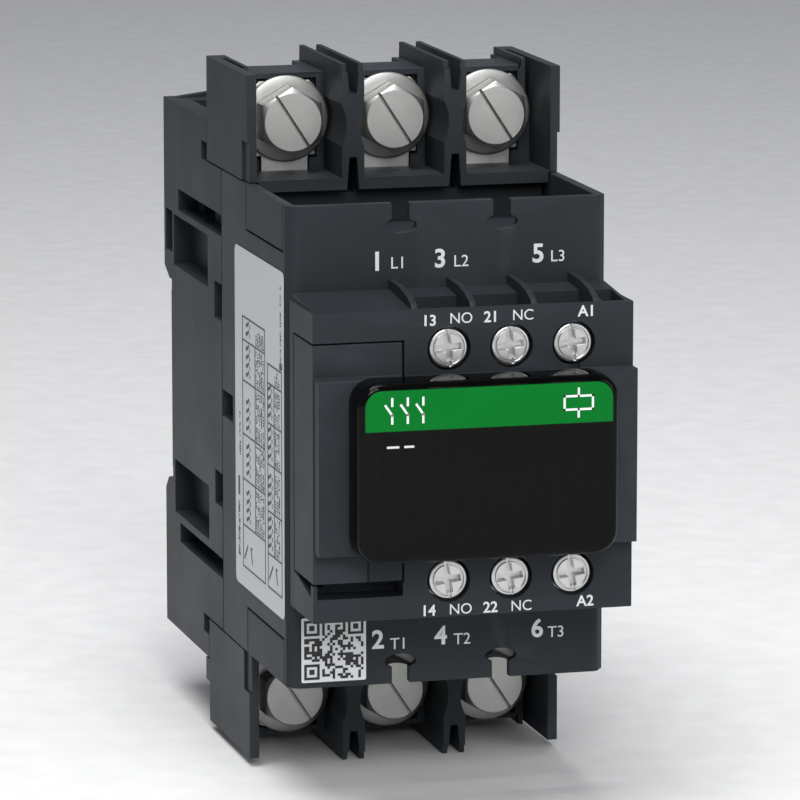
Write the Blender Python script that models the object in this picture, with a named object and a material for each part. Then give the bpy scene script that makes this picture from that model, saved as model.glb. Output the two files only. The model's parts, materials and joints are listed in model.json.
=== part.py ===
"""Three-pole power contactor for a 35 mm rail, built from its separate moulded, metal and sprung pieces.

Run with: blender --background --python part.py
Sizes are in metres. Each piece is drawn in the body frame: X to the viewer's right, Z up from the
body's mid height, and Y = 0 on the rear feet with the front towards -Y. The empty "body_frame" then
puts the world's origin at the centre of the rail seat. Depths are distances in front of the feet.
"""

import math

import bmesh
import bpy
from mathutils import Matrix, Vector

MM = 0.001
GAP = 0.3 * MM  # clearance between neighbouring pieces
CUT = 0.4 * MM  # how far a cutter runs past the wall that it opens

# Overall sizes of the mouldings.
WIDTH = 55.0 * MM
CONTROL_WIDTH = 54.4 * MM
BARRIER_HALF_HEIGHT = 60.4 * MM
WALL_HALF_HEIGHT = 59.0 * MM
BASE_HALF_HEIGHT = 47.8 * MM
BLOCK_HALF_HEIGHT = 40.6 * MM
CONTROL_HALF_HEIGHT = 25.2 * MM
CONTROL_BOTTOM = -26.1 * MM
PROUD_HALF_HEIGHT = 14.5 * MM
COVER_HALF_HEIGHT = 14.95 * MM
COVER_WIDTH = 44.0 * MM

# Depths in front of the rear feet.
SEAM_DEPTH = 45.0 * MM
TERMINAL_REAR = 34.3 * MM
TERMINAL_FRONT = 64.3 * MM
BLOCK_FRONT = 92.4 * MM
CONTROL_FRONT = 108.3 * MM
PROUD_FRONT = 111.5 * MM
COVER_FRONT = 118.0 * MM

# Rail seat.
RAIL_HEIGHT = 35.0 * MM
RAIL_PLAY = 1.0 * MM
RAIL_THICKNESS = 1.0 * MM
RAIL_SEAT_DEPTH = 5.5 * MM
RAIL_CENTRE_Z = -2.5 * MM
RAIL_HOOK = 1.1 * MM
RAIL_RELIEF = 0.3 * MM
HOOK_WIDTH = 24.0 * MM
CLIP_TRAVEL = 3.0 * MM
CLIP_WIDTH = 16.0 * MM
CLIP_THICKNESS = 3.6 * MM
CLIP_FOOT = 5.5 * MM  # how far the clip's pull reaches below the base
CLIP_POST = (-44.0 * MM, -42.4 * MM)
CLIP_POST_WIDTH = 3.8 * MM
CLIP_STOP = 1.4 * MM
CLIP_SPRING = CLIP_TRAVEL + 8.8 * MM
CLIP_SPRING_RADIUS = 1.4 * MM
CLIP_SPRING_WIRE = 0.3 * MM

# Walls.
SHELL_WALL = 1.7 * MM
BLOCK_WALL = 1.6 * MM
CONTROL_WALL = 1.7 * MM
COVER_WALL = 1.2 * MM
BASE_WALL = 6.0 * MM
BASE_BACK = 9.0 * MM
MODULE_WALL = 1.6 * MM

# Rear base. Heights are (low, high) in the upper half and then in the lower half.
SIDE_POCKET = 3.5 * MM
SLOT_Z = ((28.8 * MM, 32.6 * MM), (-31.4 * MM, -27.9 * MM))
POCKET_Z = ((18.5 * MM, 27.6 * MM), (-26.5 * MM, -16.9 * MM))
SEAM_POCKET_Z = ((14.0 * MM, 20.4 * MM), (-18.8 * MM, -12.9 * MM))
COIL_ROOM_HALF_HEIGHT = 26.5 * MM
TOP_ROOM_Z = 41.8 * MM
TOP_ROOM_WIDTH = 47.4 * MM
ARCH_RISE = 2.0 * MM
ARCH_THICKNESS = 2.0 * MM
PANEL_HOLE = 4.4 * MM
PANEL_HOLE_X = 17.5 * MM
PANEL_HOLE_Z = 44.9 * MM

# Poles and their terminals.
POLE_PITCH = 17.95 * MM
POLES = (-1, 0, 1)
TERMINAL_Z = 50.0 * MM
BARRIER_WIDTH = 3.9 * MM
BARRIER_FRONT = TERMINAL_FRONT - 0.7 * MM
BARRIER_SLOT = 1.3 * MM
BARRIER_SLOT_FLARE = 1.0 * MM
BARRIER_SLOT_Z = 55.3 * MM
WRENCH_ROOM = 15.8 * MM
SIDE_WALL = 1.7 * MM
SIDE_SLOT = 0.8 * MM
PLATE_FRONT = 52.0 * MM
PLATE_PROUD = 0.4 * MM
PLATE_THICKNESS = 1.7 * MM
PLATE_WIDTH = 10.8 * MM
PLATE_NARROW = 8.3 * MM
PLATE_STEP_Z = 43.5 * MM
PLATE_TOP_Z = 56.4 * MM
PLATE_CORNER = 1.0 * MM
FLOOR_Z = 41.0 * MM
LEDGE_Z = 57.7 * MM
POWER_THREAD = 6.0 * MM
POWER_HEX = 10.4 * MM
POWER_HEAD = 4.4 * MM
POWER_SLOT = 0.6 * MM
WASHER_DIAMETER = 14.8 * MM
WASHER_THICKNESS = 1.3 * MM
POWER_SLOT_ANGLE = math.radians(123.0)

# Magnet, contacts and the moving carrier.
STROKE = 4.0 * MM
AIR_GAP = STROKE + GAP
CORE_WIDTH = 18.0 * MM
CORE_HALF_HEIGHT = 22.0 * MM
CORE_LEG = 7.0 * MM
CORE_CENTRE_LEG = 10.0 * MM
CORE_YOKE = 6.0 * MM
CORE_DEPTH = 18.4 * MM
ARMATURE_DEPTH = 6.5 * MM
BOBBIN_HALF_WIDTH = 18.0 * MM
BOBBIN_WALL = 1.2 * MM
CONTACT_Z = 10.5 * MM
CONTACT_SIZE = 5.0 * MM
CONTACT_HEIGHT = 2.6 * MM
CONTACT_SPRING_LENGTH = 3.2 * MM
CONTACT_SPRING_RADIUS = 2.4 * MM
BRIDGE_WIDTH = 7.0 * MM
BRIDGE_THICKNESS = 1.5 * MM
BRIDGE_TIP = 1.0 * MM
STEM = 8.0 * MM
BEAM_HALF_HEIGHT = 6.0 * MM
CHAMBER_WIDTH = 12.0 * MM
CHAMBER_HALF_HEIGHT = 24.0 * MM
CHAMBER_REAR = 49.5 * MM
POLE_BODY_FRONT = 84.0 * MM
POLE_BODY_HALF_HEIGHT = 33.0 * MM
RETURN_SPRING_X = 14.4 * MM
RETURN_SPRING_RADIUS = 2.6 * MM
CARRIER_FRONT = 110.3 * MM
AUX_ARM = (101.0 * MM, 103.0 * MM)
AUX_BLADE = 0.8 * MM

# Inserts at the front housing's four outer corners.
CAP_DEPTH = (63.3 * MM, 89.3 * MM)
CAP_Z = (32.7 * MM, BLOCK_HALF_HEIGHT)
KEYHOLE_X = (-8.15 * MM, 9.25 * MM)
KEYHOLE_SLOT = 3.0 * MM
KEYHOLE_Z = 36.8 * MM

# Control block.
CONTROL_NAMES = ("no", "nc", "coil")
CONTROL_SCREW_X = (-4.2 * MM, 6.4 * MM, 17.0 * MM)
CONTROL_SCREW_TOP = 18.6 * MM
CONTROL_SCREW_BOTTOM = -20.0 * MM
CONTROL_BORE = 7.4 * MM
CONTROL_HEAD = 6.5 * MM
CONTROL_COLLAR = 6.8 * MM
CONTROL_RECESS = 0.5 * MM
CONTROL_THREAD = 3.5 * MM
CONTROL_CLAMP_REAR = 94.6 * MM
MODULE_X = -11.8 * MM
MODULE_TOP = 20.0 * MM
MODULE_BOTTOM = -19.6 * MM
MODULE_REAR = 95.5 * MM
FIN_X = (-9.8 * MM, 0.1 * MM, 10.5 * MM, 21.1 * MM)
FIN_WIDTH = 1.0 * MM
FIN_TOP = 27.9 * MM
RAMP_TOP = 26.3 * MM
COVER_CORNER = 3.9 * MM
COVER_EDGE = 1.2 * MM
COVER_TABS = (15.5 * MM, 19.5 * MM)
TAB_WIDTH = 3.0 * MM
TAB_HEIGHT = 1.4 * MM

LABEL_GAP = 0.1 * MM
LABEL_THICKNESS = 0.15 * MM

HALF = WIDTH / 2
BARRIER_X = POLE_PITCH / 2
BASE_FRONT = SEAM_DEPTH - GAP / 2
BLOCK_REAR = SEAM_DEPTH + GAP / 2
CORE_SEAT = BASE_BACK + GAP
CORE_FRONT = CORE_SEAT + CORE_DEPTH
ARMATURE_REAR = CORE_FRONT + AIR_GAP
ARMATURE_FRONT = ARMATURE_REAR + ARMATURE_DEPTH
CARRIER_YOKE = ARMATURE_FRONT + GAP
PLATE_REAR = PLATE_FRONT - PLATE_THICKNESS
LEDGE_FRONT = PLATE_FRONT - PLATE_PROUD
FIXED_CONTACT = PLATE_FRONT + CONTACT_HEIGHT
BRIDGE_REAR = FIXED_CONTACT + STROKE + GAP + BRIDGE_TIP
BRIDGE_FRONT = BRIDGE_REAR + BRIDGE_THICKNESS
BEAM_REAR = BRIDGE_REAR - 2.6 * MM
WINDOW_FRONT = BRIDGE_FRONT + CONTACT_SPRING_LENGTH + 2 * GAP
BEAM_FRONT = WINDOW_FRONT + 1.8 * MM
WASHER_REAR = PLATE_FRONT + GAP
WASHER_FRONT = WASHER_REAR + WASHER_THICKNESS
HEAD_REAR = WASHER_FRONT + GAP
HEAD_FRONT = HEAD_REAR + POWER_HEAD
RAIL_TOP = RAIL_CENTRE_Z + (RAIL_HEIGHT + RAIL_PLAY) / 2
RAIL_BOTTOM = RAIL_CENTRE_Z - (RAIL_HEIGHT + RAIL_PLAY) / 2
HOOK_LOW = RAIL_TOP - RAIL_PLAY / 2 - RAIL_HOOK
CLIP_TOP = RAIL_BOTTOM + RAIL_PLAY / 2 + RAIL_HOOK
CLIP_WINDOW = (CLIP_POST[0] - CLIP_STOP, CLIP_POST[1] + CLIP_SPRING + 2 * GAP)

PLASTIC = ("housing_grey", (0.050, 0.056, 0.062), 0.45, 0.0)
PLASTIC_LIGHT = ("cap_grey", (0.060, 0.064, 0.066), 0.48, 0.0)
CARRIER_PLASTIC = ("carrier_black", (0.020, 0.020, 0.022), 0.50, 0.0)
BOBBIN_PLASTIC = ("bobbin_cream", (0.55, 0.50, 0.40), 0.55, 0.0)
SMOKE = ("smoked_cover", (0.012, 0.013, 0.014), 0.12, 0.0)
STEEL = ("laminated_steel", (0.36, 0.36, 0.37), 0.45, 1.0)
NICKEL = ("nickel_plate", (0.62, 0.62, 0.60), 0.34, 1.0)
SILVER = ("silvered_copper", (0.70, 0.66, 0.60), 0.36, 1.0)
COPPER = ("copper", (0.72, 0.38, 0.22), 0.35, 1.0)
SPRING = ("spring_steel", (0.55, 0.56, 0.58), 0.28, 1.0)
ZINC = ("zinc_plate", (0.60, 0.61, 0.63), 0.38, 1.0)
LABEL = ("label_white", (0.62, 0.63, 0.64), 0.50, 0.0)


# ---------------------------------------------------------------- modelling helpers
def clear_scene():
    for obj in list(bpy.data.objects):
        bpy.data.objects.remove(obj)


def material(finish):
    name, colour, roughness, metallic = finish
    found = bpy.data.materials.get(name)
    if found:
        return found
    made = bpy.data.materials.new(name)
    made.use_nodes = True
    shader = made.node_tree.nodes["Principled BSDF"]
    shader.inputs["Base Color"].default_value = (*colour, 1.0)
    shader.inputs["Roughness"].default_value = roughness
    shader.inputs["Metallic"].default_value = metallic
    return made


def finish_mesh(name, bm, finish=None, smooth=False):
    """The bmesh as an object in the scene; one with no finish is a cutter or a joined-in form."""
    bmesh.ops.recalc_face_normals(bm, faces=bm.faces)
    mesh = bpy.data.meshes.new(name)
    bm.to_mesh(mesh)
    bm.free()
    obj = bpy.data.objects.new(name, mesh)
    bpy.context.scene.collection.objects.link(obj)
    if finish:
        mesh.materials.append(material(finish))
    else:
        obj.hide_render = True
        obj.display_type = "WIRE"
    if smooth:
        mesh.shade_smooth()
        mesh.set_sharp_from_angle(angle=math.radians(35.0))
    return obj


def prism(name, outline, axis, start, end, finish=None):
    """A closed outline pushed along an axis. Its points are the two other coordinates, in X, Y, Z order."""
    bm = bmesh.new()
    index = "xyz".index(axis)
    rings = []
    for place in (start, end):
        ring = []
        for point in outline:
            coordinates = list(point)
            coordinates.insert(index, place)
            ring.append(bm.verts.new(coordinates))
        rings.append(ring)
    bm.faces.new(rings[0])
    bm.faces.new(list(reversed(rings[1])))
    count = len(outline)
    for i in range(count):
        j = (i + 1) % count
        bm.faces.new((rings[0][i], rings[1][i], rings[1][j], rings[0][j]))
    return finish_mesh(name, bm, finish)


def block(name, x, depth, z, finish=None):
    """A box from its X, depth and Z ranges; depth counts forwards from the rear feet."""
    low, high = sorted(x)
    return prism(name, box_outline((-depth[0], -depth[1]), z), "x", low, high, finish)


def box_outline(first, second):
    return [(first[0], second[0]), (first[1], second[0]), (first[1], second[1]), (first[0], second[1])]


def rounded_outline(half_width, half_height, radius, steps=5):
    points = []
    for corner_x, corner_z, start in ((1, 1, 0), (-1, 1, 90), (-1, -1, 180), (1, -1, 270)):
        for step in range(steps + 1):
            angle = math.radians(start + 90.0 * step / steps)
            x = corner_x * (half_width - radius) + radius * math.cos(angle)
            z = corner_z * (half_height - radius) + radius * math.sin(angle)
            points.append((x, z))
    return points


def turned(name, profile, finish=None, segments=32, centre=(0.0, 0.0, 0.0)):
    """A solid turned about the Y axis. The profile is (radius, depth) pairs, from rear to front."""
    bm = bmesh.new()
    rings = []
    for radius, depth in profile:
        ring = []
        for i in range(segments):
            angle = 2 * math.pi * i / segments
            ring.append(bm.verts.new((radius * math.cos(angle), -depth, radius * math.sin(angle))))
        rings.append(ring)
    for first, second in zip(rings, rings[1:]):
        for i in range(segments):
            j = (i + 1) % segments
            bm.faces.new((first[i], first[j], second[j], second[i]))
    bm.faces.new(rings[0])
    bm.faces.new(rings[-1])
    obj = finish_mesh(name, bm, finish, smooth=bool(finish))
    obj.location = centre
    return obj


def coil(name, centre, axis, radius, wire, length, turns, finish=SPRING, per_turn=10, sides=4):
    """A helical spring that starts at a centre and runs a length along an axis, with closed ends."""
    bm = bmesh.new()
    along = Vector(axis).normalized()
    across = along.orthogonal().normalized()
    third = along.cross(across)
    count = int(per_turn * turns)
    run = length - 2 * wire
    rings = []
    for i in range(count + 1):
        angle = 2 * math.pi * turns * i / count
        out = across * math.cos(angle) + third * math.sin(angle)
        middle = Vector(centre) + along * (wire + run * i / count) + out * radius
        ring = []
        for k in range(sides):
            turn = 2 * math.pi * k / sides
            ring.append(bm.verts.new(middle + (out * math.cos(turn) + along * math.sin(turn)) * wire))
        rings.append(ring)
    for first, second in zip(rings, rings[1:]):
        for k in range(sides):
            m = (k + 1) % sides
            bm.faces.new((first[k], first[m], second[m], second[k]))
    bm.faces.new(rings[0])
    bm.faces.new(rings[-1])
    return finish_mesh(name, bm, finish, smooth=True)


def change(target, other, operation):
    """A Boolean left live on the target. The other object stays hidden in renders."""
    step = target.modifiers.new(other.name, "BOOLEAN")
    step.operation = operation
    step.solver = "EXACT"
    step.object = other
    return target


def cut(target, *cutters):
    for cutter in cutters:
        change(target, cutter, "DIFFERENCE")
    return target


def join(target, *others):
    for other in others:
        change(target, other, "UNION")
    return target


def both(reach):
    """A range that is mirrored about zero."""
    return (-reach, reach)


def pole_x(pole):
    return pole * POLE_PITCH


# ---------------------------------------------------------------- rear base
def side_pockets(side, up):
    """Cutters for the recesses in one side of the base, in its upper (up = 1) or lower half."""
    inward = side * (HALF - SIDE_POCKET)
    outward = side * (HALF + CUT)
    x = (inward, outward)
    tag = f"{'right' if side > 0 else 'left'}_{'upper' if up > 0 else 'lower'}"
    half = 0 if up > 0 else 1
    cutters = [
        block(f"cut_slot_{tag}", x, (11.5 * MM, BASE_FRONT + CUT), SLOT_Z[half]),
        block(f"cut_pocket_{tag}", x, (7.6 * MM, TERMINAL_REAR + 0.2 * MM), POCKET_Z[half]),
        block(f"cut_seam_{tag}", x, (39.4 * MM, BASE_FRONT + CUT), SEAM_POCKET_Z[half]),
    ]
    if up > 0:
        cutters.append(block(f"cut_rear_pocket_{tag}", x, (1.4 * MM, 6.6 * MM), (20.5 * MM, 27.9 * MM)))
    return cutters


def arched_plate(name, up):
    """The rear plate's low arch, which stands above (or below) the base's flat face."""
    span = HALF - 1.5 * MM
    root = BASE_HALF_HEIGHT - 2.0 * MM
    rear = 0.8 * MM
    steps = 8
    points = [(span, up * root)]
    for i in range(steps + 1):
        x = span * math.cos(math.pi * i / steps)
        points.append((x, up * (BASE_HALF_HEIGHT + ARCH_RISE * (1 - (x / span) ** 2))))
    points.append((-span, up * root))
    return prism(name, points, "y", -rear, -(rear + ARCH_THICKNESS))


def rear_base():
    outline = []
    step_front = TERMINAL_REAR - GAP
    notch_rear = step_front - 4.0 * MM
    shoulder = BLOCK_HALF_HEIGHT - GAP / 3
    notch_top = shoulder + 3.2 * MM
    lower = [
        (-step_front, -BASE_HALF_HEIGHT),
        (-step_front, -notch_top),
        (-notch_rear, -notch_top),
        (-notch_rear, -shoulder),
        (-BASE_FRONT, -shoulder),
    ]
    outline += [(0.0, -BASE_HALF_HEIGHT)]
    outline += lower
    outline += [(y, -z) for y, z in reversed(lower)]
    # Behind the hook and the clip, the seat is relieved, so that only the rail's flat bears on it.
    relieved = RAIL_SEAT_DEPTH + RAIL_RELIEF
    outline += [
        (0.0, BASE_HALF_HEIGHT),
        (0.0, RAIL_TOP + 1.9 * MM),
        (-RAIL_SEAT_DEPTH + 1.6 * MM, RAIL_TOP),
        (-relieved, RAIL_TOP),
        (-relieved, HOOK_LOW - RAIL_RELIEF),
        (-RAIL_SEAT_DEPTH, HOOK_LOW - RAIL_RELIEF),
        (-RAIL_SEAT_DEPTH, CLIP_TOP + RAIL_RELIEF),
        (-relieved, CLIP_TOP + RAIL_RELIEF),
        (-relieved, RAIL_BOTTOM),
        (-2.4 * MM, RAIL_BOTTOM - 0.6 * MM),
        (0.0, RAIL_BOTTOM - 2.8 * MM),
    ]
    base = prism("rear_base", outline, "x", -HALF, HALF, PLASTIC)
    inner = HALF - BASE_WALL
    coil_room = (both(inner), (BASE_BACK, BASE_FRONT + CUT), both(COIL_ROOM_HALF_HEIGHT))
    cut(base, block("cut_coil_room", *coil_room))
    for side in (-1, 1):
        for up in (-1, 1):
            cut(base, *side_pockets(side, up))
    top_rear = 7.0 * MM
    for up in (-1, 1):
        tag = "upper" if up > 0 else "lower"
        top = up * (BASE_HALF_HEIGHT + ARCH_RISE + 1 * MM)
        window = SLOT_Z[0 if up > 0 else 1]
        top_room = (up * TOP_ROOM_Z, top)
        groove = (up * (BASE_HALF_HEIGHT - 3.3 * MM), top)
        cut(
            base,
            block(f"cut_window_{tag}", both(HALF + CUT), (16.5 * MM, 25.5 * MM), window),
            block(f"cut_top_room_{tag}", both(TOP_ROOM_WIDTH / 2), (top_rear, step_front + CUT), top_room),
        )
        join(base, arched_plate(f"form_arch_{tag}", up))
        cut(base, block(f"cut_groove_{tag}", both(TOP_ROOM_WIDTH / 2 + GAP), (3.4 * MM, 4.8 * MM), groove))
        for side in (-1, 1):
            hole = turned(
                f"cut_panel_hole_{tag}_{side}",
                [(PANEL_HOLE / 2, -CUT), (PANEL_HOLE / 2, top_rear + 1 * MM)],
                segments=14,
                centre=(side * PANEL_HOLE_X, 0.0, up * PANEL_HOLE_Z),
            )
            cut(base, hole)
    # The hook over the rail's upper edge, and the guide in which the clip slides.
    lip = 0.9 * MM
    hook_depth = (lip, RAIL_SEAT_DEPTH - RAIL_THICKNESS - GAP)
    join(base, block("form_rail_hook", both(HOOK_WIDTH / 2), hook_depth, (HOOK_LOW, RAIL_TOP + 3.0 * MM)))
    guide = CLIP_WIDTH / 2 + GAP
    guide_depth = (-CUT, CLIP_THICKNESS + 2 * GAP)
    guide_z = (-BASE_HALF_HEIGHT - 3 * MM, RAIL_BOTTOM + CUT)
    cut(base, block("cut_clip_guide", both(guide), guide_depth, guide_z))
    post_depth = (lip, CLIP_THICKNESS + 3 * GAP)
    join(base, block("form_clip_post", both(CLIP_POST_WIDTH / 2), post_depth, CLIP_POST))
    return base


# ---------------------------------------------------------------- rail clip
def rail_clip():
    depth = (GAP, CLIP_THICKNESS + GAP)
    through = (-CUT, depth[1] + CUT)
    foot = -BASE_HALF_HEIGHT - CLIP_FOOT
    profile = [
        (-depth[0], foot),
        (-depth[1], foot),
        (-depth[1], CLIP_TOP - 1.2 * MM),
        (-depth[1] + 1.0 * MM, CLIP_TOP),
        (-depth[0], CLIP_TOP - 0.4 * MM),
    ]
    clip = prism("rail_clip", profile, "x", -CLIP_WIDTH / 2, CLIP_WIDTH / 2, ZINC)
    cut(clip, block("cut_clip_window", both(CLIP_POST_WIDTH / 2 + 0.4 * MM), through, CLIP_WINDOW))
    cut(clip, block("cut_clip_pull", both(3.5 * MM), through, (foot + 1.4 * MM, foot + 3.4 * MM)))
    seat = (0.0, -depth[0] - CLIP_THICKNESS / 2, CLIP_POST[1] + GAP)
    coil("rail_clip_spring", seat, (0, 0, 1), CLIP_SPRING_RADIUS, CLIP_SPRING_WIRE, CLIP_SPRING, 6)
    return clip


# ---------------------------------------------------------------- pole housing
def flared_slot(name, x, narrow_z, wide_z, depth):
    """A cutter for a slot between two walls, which opens out from its narrow end to its wide end."""
    near = BARRIER_SLOT / 2
    far = near + BARRIER_SLOT_FLARE / 2
    outline = [(x - near, narrow_z), (x + near, narrow_z), (x + far, wide_z), (x - far, wide_z)]
    return prism(name, outline, "y", -depth[0], -depth[1])


def terminal_rooms(housing, tag, up):
    """Cuts the three compartments, with room for plates, screws and a wrench."""
    beyond = up * (BARRIER_HALF_HEIGHT + CUT)
    inner_edge = BARRIER_X - BARRIER_WIDTH / 2
    outer_edge = BARRIER_X + BARRIER_WIDTH / 2
    wall_edge = HALF - SIDE_WALL
    ledge_edge = wall_edge - 2 * SIDE_SLOT
    rooms = ((-wall_edge, -outer_edge), both(inner_edge), (outer_edge, wall_edge))
    ledges = ((-ledge_edge, -outer_edge), both(inner_edge), (outer_edge, ledge_edge))
    recess_front = LEDGE_FRONT + 1.9 * MM
    for pole, room, ledge in zip(POLES, rooms, ledges):
        name = f"{tag}_{pole + 2}"
        x = pole_x(pole)
        centre = (x, 0.0, up * TERMINAL_Z)
        room_depth = (LEDGE_FRONT, TERMINAL_FRONT + CUT)
        cut(housing, block(f"cut_room_{name}", room, room_depth, (up * FLOOR_Z, beyond)))
        wrench = [(WRENCH_ROOM / 2, LEDGE_FRONT), (WRENCH_ROOM / 2, TERMINAL_FRONT + CUT)]
        cut(housing, turned(f"cut_wrench_{name}", wrench, segments=32, centre=centre))
        ledge_depth = (TERMINAL_REAR - CUT, recess_front)
        cut(housing, block(f"cut_ledge_{name}", ledge, ledge_depth, (up * LEDGE_Z, beyond)))
        half = PLATE_WIDTH / 2 + GAP
        wide = (x - half, x + half)
        back_depth = (TERMINAL_REAR - CUT, 40.6 * MM)
        cut(housing, block(f"cut_back_{name}", wide, back_depth, (up * 48.1 * MM, beyond)))
        plate = (up * (PLATE_STEP_Z - GAP * 5 / 3), up * (PLATE_TOP_Z + GAP * 4 / 3))
        cut(housing, block(f"cut_plate_{name}", wide, (PLATE_REAR - GAP, recess_front), plate))
        half = PLATE_NARROW / 2 + GAP
        slot = (PLATE_REAR - GAP, PLATE_FRONT + GAP)
        deep = (up * (CHAMBER_HALF_HEIGHT - 1 * MM), up * (PLATE_STEP_Z + 0.5 * MM))
        cut(housing, block(f"cut_bar_{name}", (x - half, x + half), slot, deep))
        bore = [(POWER_THREAD / 2 + GAP, 43.5 * MM), (POWER_THREAD / 2 + GAP, PLATE_FRONT + 1 * MM)]
        cut(housing, turned(f"cut_bore_{name}", bore, segments=16, centre=centre))


def terminal_block(housing, up):
    """Adds one row of terminal compartments above (up = 1) or below the pole housing's body."""
    tag = "line" if up > 0 else "load"
    edge = up * (BLOCK_HALF_HEIGHT + GAP * 2 / 3)
    row_z = (edge, up * WALL_HALF_HEIGHT)
    row = block(f"form_{tag}_row", both(HALF), (TERMINAL_REAR, TERMINAL_FRONT), row_z)
    join(housing, row)
    for side in (-1, 1):
        centre = side * BARRIER_X
        reach = (centre - BARRIER_WIDTH / 2, centre + BARRIER_WIDTH / 2)
        tall = (up * (WALL_HALF_HEIGHT - 9 * MM), up * BARRIER_HALF_HEIGHT)
        run = (TERMINAL_REAR + 0.1 * MM, BARRIER_FRONT)
        join(housing, block(f"form_{tag}_barrier_{side}", reach, run, tall))
        if up < 0:
            toe = (side * (HALF - SIDE_WALL), side * (HALF - 0.02 * MM))
            low = -BASE_HALF_HEIGHT - GAP
            toe_depth = (31.4 * MM, 36.0 * MM)
            join(housing, block(f"form_load_toe_{side}", toe, toe_depth, (low - 4.0 * MM, low)))
    terminal_rooms(housing, tag, up)
    beyond = up * (BARRIER_HALF_HEIGHT + CUT)
    wall_edge = HALF - SIDE_WALL
    run = (TERMINAL_REAR - CUT, TERMINAL_FRONT + CUT)
    low_run = (56.0 * MM, TERMINAL_FRONT + CUT)
    low_z = (up * (FLOOR_Z + 3.5 * MM), up * (FLOOR_Z - 3.0 * MM))
    for side in (-1, 1):
        centre = side * BARRIER_X
        cut(housing, flared_slot(f"cut_{tag}_slot_{side}", centre, up * BARRIER_SLOT_Z, beyond, run))
        cut(housing, flared_slot(f"cut_{tag}_low_slot_{side}", centre, *low_z, low_run))
        gap = (side * (wall_edge - SIDE_SLOT), side * wall_edge)
        gap_depth = (38.0 * MM, 53.2 * MM)
        cut(housing, block(f"cut_{tag}_side_slot_{side}", gap, gap_depth, (up * 49.0 * MM, beyond)))
        relief = (side * (HALF - 0.45 * MM), side * (HALF + CUT))
        high = (up * (BLOCK_HALF_HEIGHT - CUT), up * 47.6 * MM)
        cut(housing, block(f"cut_{tag}_relief_{side}", relief, (60.5 * MM, TERMINAL_FRONT + CUT), high))


def pole_housing():
    reach = HALF - SHELL_WALL - GAP
    wall_front = 60.0 * MM
    arc = POLE_BODY_HALF_HEIGHT
    body = block("pole_housing", both(reach), (BLOCK_REAR, wall_front), both(FLOOR_Z + 3.0 * MM), PLASTIC)
    rim_depth = (wall_front - 1 * MM, TERMINAL_FRONT)
    join(body, block("form_lip", both(reach), rim_depth, both(FLOOR_Z + 2.0 * MM)))
    for up in (-1, 1):
        under_lip = (up * arc, up * (FLOOR_Z - 2.0 * MM))
        lip_depth = (wall_front + 0.2 * MM, TERMINAL_FRONT + 0.7 * MM)
        cut(body, block(f"cut_under_lip_{up}", both(reach + CUT), lip_depth, under_lip))
    arc_depth = (wall_front - 2 * MM, POLE_BODY_FRONT)
    join(body, block("form_arc_body", both(reach - 0.1 * MM), arc_depth, both(arc)))
    for pole in POLES:
        x = pole_x(pole)
        chamber = (x - CHAMBER_WIDTH / 2, x + CHAMBER_WIDTH / 2)
        depth = (CHAMBER_REAR, POLE_BODY_FRONT + CUT)
        cut(body, block(f"cut_chamber_{pole + 2}", chamber, depth, both(CHAMBER_HALF_HEIGHT)))
    slot_reach = reach - 1.2 * MM
    beam_room = (BEAM_REAR - STROKE - GAP, POLE_BODY_FRONT + CUT)
    cut(body, block("cut_beam_slot", both(slot_reach), beam_room, both(BEAM_HALF_HEIGHT + 0.5 * MM)))
    stem = STEM / 2 + 0.4 * MM
    cut(body, block("cut_stem_hole", both(stem), (BLOCK_REAR - CUT, CHAMBER_REAR + CUT), both(stem)))
    for up in (-1, 1):
        terminal_block(body, up)
    return body


# ---------------------------------------------------------------- front housing and its caps
def keyhole(name, x, up):
    """A slot from the front wall's edge down to a round recess."""
    depth = (BLOCK_FRONT - BLOCK_WALL - CUT, BLOCK_FRONT + CUT)
    half = KEYHOLE_SLOT / 2
    stem_z = (up * (KEYHOLE_Z - 0.3 * MM), up * (BLOCK_HALF_HEIGHT + CUT))
    stem = block(f"{name}_stem", (x - half, x + half), depth, stem_z)
    wide = 2.75 * MM
    tall = 1.2 * MM
    steps = 14
    points = []
    for i in range(steps):
        angle = 2 * math.pi * i / steps
        points.append((x + wide * math.cos(angle), up * KEYHOLE_Z + tall * math.sin(angle)))
    return stem, prism(f"{name}_round", points, "y", -depth[0], -depth[1])


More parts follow.
